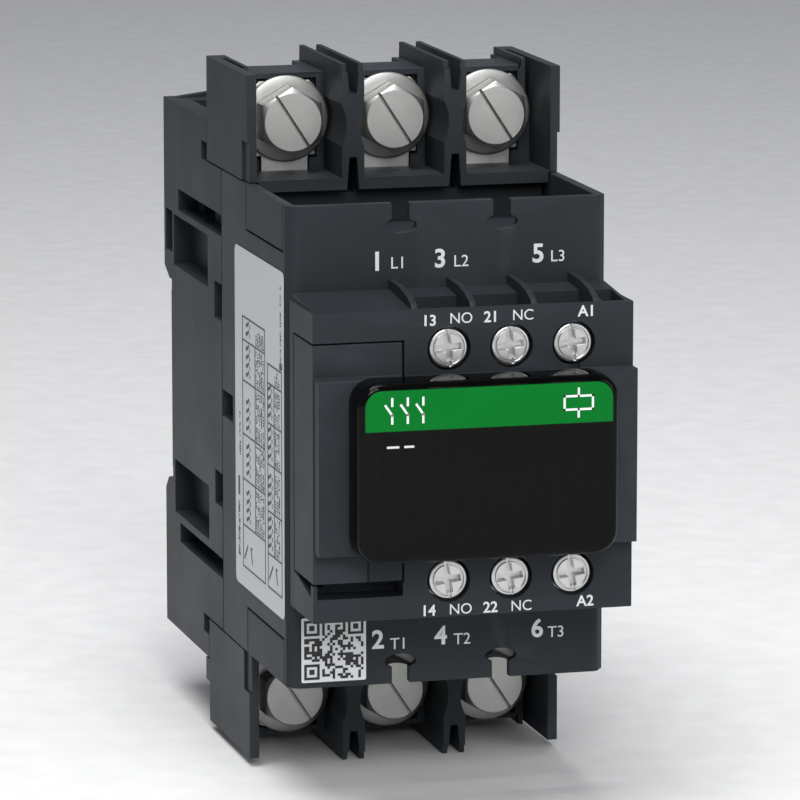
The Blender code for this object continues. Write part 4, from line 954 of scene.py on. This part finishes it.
def make_control_screws():
    """Pan heads with a cross recess and a slot, a groove behind the face and a collar."""
    sample = "control_screw_nc_top"
    low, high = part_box(sample)
    x, z = control_centre("nc", "top")
    front, rear = low.y, high.y
    collar = (high.x - low.x) / 2
    head = collar - 0.1 * MM
    rings = [
        (CONTROL_THREAD_RADIUS - 0.4 * MM, rear),
        (CONTROL_THREAD_RADIUS, rear - 0.5 * MM),
        (CONTROL_THREAD_RADIUS, front + 3.0 * MM),
        (collar, front + 3.0 * MM),
        (collar, front + 2.3 * MM),
        (collar - 0.25 * MM, front + 2.1 * MM),
        (head - 0.35 * MM, front + 2.05 * MM),
        (head - 0.35 * MM, front + 1.65 * MM),
        (head, front + 1.55 * MM),
        (head, front + 0.30 * MM),
        (head - 0.09 * MM, front + 0.09 * MM),
        (head - 0.30 * MM, front),
    ]
    screw = turned_piece("screw", (x, z), rings, 64)
    bpy.ops.object.mode_set(mode="EDIT")
    select_faces(screw, lambda at, normal: normal.y < -LEVEL and abs(at.y - front) < SAME)
    bpy.ops.mesh.inset(thickness=head - 0.30 * MM - 2.75 * MM)
    bpy.ops.mesh.inset(thickness=0.3 * MM)
    select_faces(
        screw,
        lambda at, normal: normal.y < -LEVEL and 2.5 * MM < math.hypot(at.x - x, at.z - z) < 2.72 * MM,
    )
    bpy.ops.mesh.extrude_region_move(TRANSFORM_OT_translate={"value": (0.0, 0.35 * MM, 0.0)})
    bpy.ops.object.mode_set(mode="OBJECT")
    place = Matrix.Translation((x, front, z)) @ Matrix.Rotation(math.radians(-8.0), 4, "Y")
    tools = (
        ((-0.22, -1.0, -3.1), (0.22, 0.5, 3.1)),
        ((-2.2, -1.0, -0.55), (2.2, 1.4, 0.55)),
        ((-0.55, -1.0, -2.2), (0.55, 1.4, 2.2)),
    )
    for corner, opposite in tools:
        tool = box_piece("tool", [c * MM for c in corner], [c * MM for c in opposite])
        tool.matrix_world = place
        settle(tool)
        combine(screw, tool, "DIFFERENCE")
    round_edges(screw, 0.05 * MM, 1, 40.0, True)
    flatten_faces(smooth(screw, 35.0))
    start = Vector((x, 0.0, z))
    for kind, row in CONTROL_PLACES:
        node = f"control_screw_{kind}_{row}"
        new_x, new_z = control_centre(kind, row)
        twin = copied(screw, f"{node}_turned", Vector((new_x, 0.0, new_z)) - start)
        fit_out(twin, node, "zinc_steel", zinc_finish(), node)
    bpy.data.objects.remove(screw)


def printed_word(words, height, place, weight):
    """One word as a thin raised print that faces forwards."""
    bpy.ops.object.select_all(action="DESELECT")
    bpy.ops.object.text_add(location=place, rotation=(math.pi / 2, 0.0, 0.0))
    obj = bpy.context.active_object
    obj.data.body = words
    obj.data.align_x = "CENTER"
    obj.data.align_y = "CENTER"
    obj.data.size = height
    bpy.context.view_layer.update()
    obj.data.size = height * height / obj.dimensions.y
    obj.data.extrude = (PRINT_RISE + PRINT_SINK) / 2
    obj.data.offset = weight
    obj.data.resolution_u = 6
    bpy.ops.object.convert(target="MESH")
    return settle(obj)


def make_markings():
    ink = marking_finish()
    middle_y = (PRINT_SINK - PRINT_RISE) / 2
    groups = (("shell_markings", SHELL_FACE, SHELL_MARKS), ("control_markings", CONTROL_FACE, CONTROL_MARKS))
    for name, face, marks in groups:
        pieces = []
        for words, height, across, up, weight in marks:
            place = (across * MM, face + middle_y, MIDDLE_Z + up * MM)
            pieces.append(printed_word(words, height * MM, place, weight * MM))
        fit_out(joined(name, pieces), "root", "label", ink)


def grid_marks(name, low, high, columns, rows, kept, depth, facing):
    """A printed pattern: the cells of a grid that a rule keeps, thickened, on an X-Z or a Y-Z face."""
    width = high[0] - low[0]
    height = high[1] - low[1]
    grid = bpy.ops.mesh.primitive_grid_add
    obj = added(grid, name, x_subdivisions=columns, y_subdivisions=rows, size=1.0)
    obj.scale = (width, height, 1.0)
    settle(obj)
    bpy.ops.object.mode_set(mode="EDIT")

    def dropped(at, normal):
        column = int((at.x / width + 0.5) * columns)
        row = int((at.y / height + 0.5) * rows)
        return not kept(column, row)

    select_faces(obj, dropped)
    bpy.ops.mesh.delete(type="FACE")
    bpy.ops.mesh.select_all(action="SELECT")
    bpy.ops.mesh.extrude_region_move(TRANSFORM_OT_translate={"value": (0.0, 0.0, depth)})
    bpy.ops.mesh.select_all(action="SELECT")
    bpy.ops.mesh.normals_make_consistent(inside=False)
    bpy.ops.object.mode_set(mode="OBJECT")
    middle = ((low[0] + high[0]) / 2, (low[1] + high[1]) / 2)
    upright = Matrix.Rotation(math.pi / 2, 4, "X")
    if facing == "front":
        obj.matrix_world = Matrix.Translation((middle[0], 0.0, middle[1])) @ upright
    else:
        sideways = Matrix.Rotation(-math.pi / 2, 4, "Z")
        obj.matrix_world = Matrix.Translation((0.0, middle[0], middle[1])) @ sideways @ upright
    return settle(obj)


def make_code_sticker():
    """A white square with a plain block pattern that carries no message."""
    low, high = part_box("code_sticker")
    sheet_front = high.y - (high.y - low.y) * 0.6
    sticker = box_piece("pattern_sticker", (low.x, sheet_front, low.z), (high.x, high.y, high.z))
    bpy.ops.object.mode_set(mode="EDIT")
    round_corners(sticker, 1, 0.3 * MM, 3)
    bpy.ops.object.mode_set(mode="OBJECT")
    film = printed("sticker_film", (0.60, 0.61, 0.62), 0.45)
    fit_out(smooth(sticker), "root", "label", film, "code_sticker")
    count = 23
    corner = 6
    order = random.Random(7)
    filled = {(c, r) for c in range(count) for r in range(count) if order.random() < 0.47}

    def kept(column, row):
        for first, second in ((0, 0), (0, count - corner), (count - corner, count - corner)):
            c, r = column - first, row - second
            if 0 <= c < corner and 0 <= r < corner:
                rim = c in (0, corner - 1) or r in (0, corner - 1)
                return rim or (2 <= c <= 3 and 2 <= r <= 3)
            if -1 <= c <= corner and -1 <= r <= corner:
                return False
        return (column, row) in filled

    margin = 0.45 * MM
    blocks = grid_marks(
        "pattern_blocks",
        (low.x + margin, low.z + margin),
        (high.x - margin, high.z - margin),
        count,
        count,
        kept,
        0.06 * MM,
        "front",
    )
    bpy.ops.transform.translate(value=(0.0, low.y + 0.065 * MM, 0.0))
    settle(blocks)
    fit_out(blocks, "root", "label", printed("sticker_ink", (0.02, 0.02, 0.022), 0.5))


def label_rules():
    """Ruled tables and false text of the side label, as (column, row) cells of a fine grid."""
    columns, rows = 139, 234
    order = random.Random(11)
    cells = set()

    def across(first, last, row):
        cells.update((c, row) for c in range(first, last + 1))

    def upright(column, first, last):
        cells.update((column, r) for r in range(first, last + 1))

    def false_text(column, first, last):
        """A line that runs up the label: short strokes of uneven height, with gaps between words."""
        row = first
        while row < last:
            word = min(last, row + order.randint(5, 13))
            while row < word:
                height = order.choice((1, 2, 2, 3))
                across(column, column + height - 1, row)
                if order.random() < 0.4:
                    upright(column + order.choice((0, height - 1)), row, row + 1)
                row += 2
            row += order.randint(2, 4)

    def contact(column, row):
        """A contact symbol: two dots and a slanted blade, twice."""
        for step in (0, 6):
            upright(column, row + step, row + step + 2)
            upright(column + 10, row + step, row + step + 2)
            for reach in range(6):
                cells.add((column + 2 + reach, row + step + 1 + reach // 2))
                cells.add((column + 2 + reach, row + step + 2 + reach // 2))

    tables = (
        (22, 86, (14, 43, 75, 106, 143, 171, 187), 58),
        (94, 133, (14, 37, 66, 98, 126, 153, 166), 112),
    )
    for left, right, lines, middle in tables:
        upright(left, lines[0], lines[-1])
        upright(right, lines[0], lines[-1])
        upright(middle, lines[1], lines[-2])
        for row in lines:
            across(left, right, row)
        for first, last in zip(lines[1:], lines[2:]):
            for column in range(middle + 3, right - 3, 5):
                false_text(column, first + 2, last - 2)
            for row in range(first + 4, last - 10, 12):
                contact(left + (middle - left - 13) // 2, row)
        knee = lines[0] + 6
        for step in range(10):
            upright(left + 4 + step, knee + step, knee + step + 1)
            upright(left + 22 + step // 2, knee + 9 - step, knee + 10 - step)
        across(left + 22, left + 26, knee + 10)
    false_text(130, 172, 224)
    for column in range(128, 135):
        upright(column, 168, 171)
    for column in (9, 11):
        false_text(column, 20, 58)
    false_text(13, 90, 120)
    for column in range(9, 13):
        upright(column, 62, 74)
    return columns, rows, cells


def make_side_label():
    """The side label: white film with ruled tables of meaningless marks."""
    low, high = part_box("side_label")
    film_face = high.x - (high.x - low.x) * 0.6
    film = box_piece("side_label_film", (film_face, low.y, low.z), (high.x, high.y, high.z))
    bpy.ops.object.mode_set(mode="EDIT")
    round_corners(film, 0, 1.3 * MM, 6)
    bpy.ops.object.mode_set(mode="OBJECT")
    fit_out(smooth(film), "root", "label", printed("label_film", (0.52, 0.54, 0.55), 0.42), "side_label")
    columns, rows, cells = label_rules()
    marks = grid_marks(
        "side_label_marks",
        (low.y, low.z),
        (high.y, high.z),
        columns,
        rows,
        lambda column, row: (column, row) in cells,
        0.06 * MM,
        "left",
    )
    bpy.ops.transform.translate(value=(low.x + 0.065 * MM, 0.0, 0.0))
    settle(marks)
    fit_out(marks, "root", "label", printed("label_ink", (0.05, 0.05, 0.055), 0.5))


def coil_spring(name, radius, wire, length, turns):
    """A wire circle wound by a Screw modifier about Z, from z = 0 up."""
    obj = added(
        bpy.ops.mesh.primitive_circle_add,
        name,
        vertices=12,
        radius=wire,
        fill_type="NOTHING",
        location=(radius, 0.0, wire),
        rotation=(math.pi / 2, 0.0, 0.0),
    )
    winding = obj.modifiers.new("winding", "SCREW")
    winding.axis = "Z"
    winding.steps = 28
    winding.render_steps = 28
    winding.iterations = turns
    winding.screw_offset = (length - 2 * wire) / turns
    apply_all(obj)
    bpy.ops.object.mode_set(mode="EDIT")
    bpy.ops.mesh.select_all(action="SELECT")
    bpy.ops.mesh.fill_holes(sides=0)
    bpy.ops.mesh.select_all(action="SELECT")
    bpy.ops.mesh.normals_make_consistent(inside=False)
    bpy.ops.object.mode_set(mode="OBJECT")
    return smooth(obj, 60.0)


def spring_along_y(name, node, radius, wire, turns):
    """A spring in place of a frame piece, wound forwards from its rear end."""
    low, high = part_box(node)
    spring = coil_spring(name, radius, wire, high.y - low.y, turns)
    spring.rotation_euler = (math.pi / 2, 0.0, 0.0)
    spring.location = (centre_of(node).x, high.y, MIDDLE_Z)
    return settle(spring)


def make_springs():
    """Smooth springs in place of the frame's coarse ones."""
    steel = stamped_metal("spring_wire", (0.46, 0.47, 0.49), 0.26)
    low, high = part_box("rail_clip_spring")
    middle = (low + high) / 2
    wire = 0.3 * MM
    spring = coil_spring("rail_clip_coil", (high.x - low.x) / 2 - wire, wire, high.z - low.z, 8)
    spring.location = (middle.x, middle.y, low.z)
    settle(spring)
    fit_out(spring, "root", "spring_steel", steel, "rail_clip_spring")
    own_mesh(spring)
    for side in ("left", "right"):
        node = f"return_spring_{side}"
        low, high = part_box(node)
        spring = spring_along_y(f"return_coil_{side}", node, 2.6 * MM, 0.35 * MM, 6)
        fit_out(spring, "root", "spring_steel", steel, node)
        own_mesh(spring)
    for pole in POLES:
        node = f"contact_spring_{pole}"
        spring = spring_along_y(f"contact_coil_{pole}", node, 2.4 * MM, 0.3 * MM, 3)
        fit_out(spring, "carrier", "spring_steel", steel, node)


def make_clip():
    clip = softened_copy("rail_clip", "stamping", sizes().plate_edge)
    fit_out(clip, "clip", "zinc_steel", stamped_metal("zinc_sheet", (0.50, 0.51, 0.53), 0.40), "rail_clip")


def finish_inner_pieces():
    """Finishes of the pieces whose frame shape is right as it is."""
    steel = banded("laminated_steel", (0.30, 0.30, 0.31), 0.42, 1.0, 320.0)
    wire = banded("enamelled_wire", (0.45, 0.16, 0.06), 0.34, 0.6, 480.0, (0.0, 0.0, math.pi / 2))
    bobbin = moulded_plastic("bobbin_thermoset", (0.50, 0.45, 0.36), 0.5, 1800.0, 0.2)
    carrier = moulded_plastic("carrier_thermoset", (0.018, 0.018, 0.020), 0.5, 2200.0, 0.4)
    copper = stamped_metal("silvered_copper", (0.58, 0.55, 0.50), 0.36)
    finishes = {
        "fixed_core": steel,
        "armature": steel,
        "coil_winding": wire,
        "coil_bobbin": bobbin,
        "contact_carrier": carrier,
    }
    contacts = [f"contact_bridge_{pole}" for pole in POLES]
    contacts += [f"control_terminal_{kind}_{row}" for kind, row in CONTROL_PLACES]
    contacts += ["aux_blade_no", "aux_blade_nc"]
    finishes.update((node, copper) for node in contacts)
    for node, finish in finishes.items():
        piece = frame["nodes"][node]
        piece.data.materials.clear()
        piece.data.materials.append(finish)


# ---------------------------------------------------------------- stage
def area_light(name, place, aim, size, power):
    bpy.ops.object.light_add(type="AREA", location=place)
    lamp = bpy.context.active_object
    lamp.name = name
    lamp.data.shape = "DISK"
    lamp.data.size = size
    lamp.data.energy = power
    lamp.rotation_euler = (Vector(aim) - Vector(place)).to_track_quat("-Z", "Y").to_euler()


def make_stage():
    """A pale floor, a soft overhead light, a large key from the front and a weak fill, and the camera."""
    low, high = CAD_BOX
    plane = bpy.ops.mesh.primitive_plane_add
    floor = added(plane, "pale_floor", size=12.0, location=(0.0, 0.0, low.z - 0.1 * MM))
    floor.data.materials.append(printed("floor_paper", (0.80, 0.80, 0.80), 0.85))
    middle = (low + high) / 2
    area_light("overhead", (-0.15, -0.25, 0.95), middle, 0.7, 9.0)
    area_light("key_front", (-0.12, -1.15, 0.62), middle, 0.6, 8.2)
    area_light("fill_right", (0.9, -1.0, 0.35), middle, 0.8, 3.0)
    world = bpy.context.scene.world or bpy.data.worlds.new("studio")
    bpy.context.scene.world = world
    world.use_nodes = True
    sky = world.node_tree.nodes["Background"]
    sky.inputs["Color"].default_value = (0.93, 0.95, 1.0, 1.0)
    sky.inputs["Strength"].default_value = 0.28
    bpy.context.scene.view_settings.view_transform = "Standard"
    bpy.ops.object.camera_add()
    camera = bpy.context.active_object
    camera.name = "studio_camera"
    camera.data.sensor_width = 36.0
    camera.data.lens = 259.1
    camera.data.clip_start = 0.1
    right = Vector((0.96615, -0.25798, 0.0))
    up = Vector((0.04529, 0.16960, 0.98447))
    turn = Matrix((right, up, right.cross(up))).transposed().to_4x4()
    camera.matrix_world = Matrix.Translation((-0.2510, -0.9959, 0.1778)) @ turn
    bpy.context.scene.camera = camera


# ---------------------------------------------------------------- operators
class PieceOperator:
    """What every operator here shares: it runs its builder and finishes, or the builder's error stops it."""

    bl_options = {"REGISTER", "UNDO"}

    def execute(self, context):
        type(self).build()
        return {"FINISHED"}


class CONTACTOR_OT_stage(PieceOperator, bpy.types.Operator):
    """Add the floor, the lights and the camera."""

    bl_idname = "contactor.stage"
    bl_label = "Stage"
    build = staticmethod(make_stage)


class CONTACTOR_OT_mouldings(PieceOperator, bpy.types.Operator):
    """Add the plastic mouldings with rounded edges."""

    bl_idname = "contactor.mouldings"
    bl_label = "Mouldings"
    build = staticmethod(make_mouldings)


class CONTACTOR_OT_hood(PieceOperator, bpy.types.Operator):
    """Add the smoked hood, its band and its symbols."""

    bl_idname = "contactor.hood"
    bl_label = "Smoked Hood"
    build = staticmethod(make_hood)


class CONTACTOR_OT_power_screws(PieceOperator, bpy.types.Operator):
    """Add the hexagon-head power screws."""

    bl_idname = "contactor.power_screws"
    bl_label = "Power Screws"
    build = staticmethod(make_power_screws)


class CONTACTOR_OT_power_washers(PieceOperator, bpy.types.Operator):
    """Add the dished washers."""

    bl_idname = "contactor.power_washers"
    bl_label = "Power Washers"
    build = staticmethod(make_power_washers)


class CONTACTOR_OT_terminal_plates(PieceOperator, bpy.types.Operator):
    """Add the power terminal plates."""

    bl_idname = "contactor.terminal_plates"
    bl_label = "Terminal Plates"
    build = staticmethod(make_terminal_plates)


class CONTACTOR_OT_control_screws(PieceOperator, bpy.types.Operator):
    """Add the clamp screws of the control terminals."""

    bl_idname = "contactor.control_screws"
    bl_label = "Control Screws"
    build = staticmethod(make_control_screws)


class CONTACTOR_OT_markings(PieceOperator, bpy.types.Operator):
    """Print the standard terminal markings."""

    bl_idname = "contactor.markings"
    bl_label = "Terminal Markings"
    build = staticmethod(make_markings)


class CONTACTOR_OT_code_sticker(PieceOperator, bpy.types.Operator):
    """Add the square patterned sticker."""

    bl_idname = "contactor.code_sticker"
    bl_label = "Pattern Sticker"
    build = staticmethod(make_code_sticker)


class CONTACTOR_OT_side_label(PieceOperator, bpy.types.Operator):
    """Add the ruled side label."""

    bl_idname = "contactor.side_label"
    bl_label = "Side Label"
    build = staticmethod(make_side_label)


class CONTACTOR_OT_springs(PieceOperator, bpy.types.Operator):
    """Add the rail clip's, the magnet's and the contacts' springs."""

    bl_idname = "contactor.springs"
    bl_label = "Springs"
    build = staticmethod(make_springs)


class CONTACTOR_OT_clip(PieceOperator, bpy.types.Operator):
    """Add the rail clip."""

    bl_idname = "contactor.clip"
    bl_label = "Rail Clip"
    build = staticmethod(make_clip)


class CONTACTOR_OT_inner_pieces(PieceOperator, bpy.types.Operator):
    """Give the magnet, the carrier and the contacts their finishes."""

    bl_idname = "contactor.inner_pieces"
    bl_label = "Inner Pieces"
    build = staticmethod(finish_inner_pieces)


OPERATORS = (
    CONTACTOR_OT_stage,
    CONTACTOR_OT_mouldings,
    CONTACTOR_OT_hood,
    CONTACTOR_OT_power_screws,
    CONTACTOR_OT_power_washers,
    CONTACTOR_OT_terminal_plates,
    CONTACTOR_OT_control_screws,
    CONTACTOR_OT_markings,
    CONTACTOR_OT_code_sticker,
    CONTACTOR_OT_side_label,
    CONTACTOR_OT_springs,
    CONTACTOR_OT_clip,
    CONTACTOR_OT_inner_pieces,
)


class CONTACTOR_PT_panel(bpy.types.Panel):
    """Settings and steps of the contactor model."""

    bl_label = "Rail Contactor"
    bl_idname = "CONTACTOR_PT_panel"
    bl_space_type = "VIEW_3D"
    bl_region_type = "UI"
    bl_category = "Contactor"

    def draw(self, context):
        layout = self.layout
        for settings in (context.scene.contactor_sizes, context.scene.contactor_colours):
            box = layout.box()
            for name in settings.__annotations__:
                box.prop(settings, name)
        for operator in OPERATORS:
            layout.operator(operator.bl_idname)


CLASSES = (ContactorSizes, ContactorColours, *OPERATORS, CONTACTOR_PT_panel)


def register():
    for cls in CLASSES:
        bpy.utils.register_class(cls)
    bpy.types.Scene.contactor_sizes = bpy.props.PointerProperty(type=ContactorSizes)
    bpy.types.Scene.contactor_colours = bpy.props.PointerProperty(type=ContactorColours)


def unregister():
    del bpy.types.Scene.contactor_colours
    del bpy.types.Scene.contactor_sizes
    for cls in reversed(CLASSES):
        bpy.utils.unregister_class(cls)


def main():
    register()
    for operator in OPERATORS:
        group, name = operator.bl_idname.split(".")
        getattr(getattr(bpy.ops, group), name)()


if __name__ == "__main__":
    main()
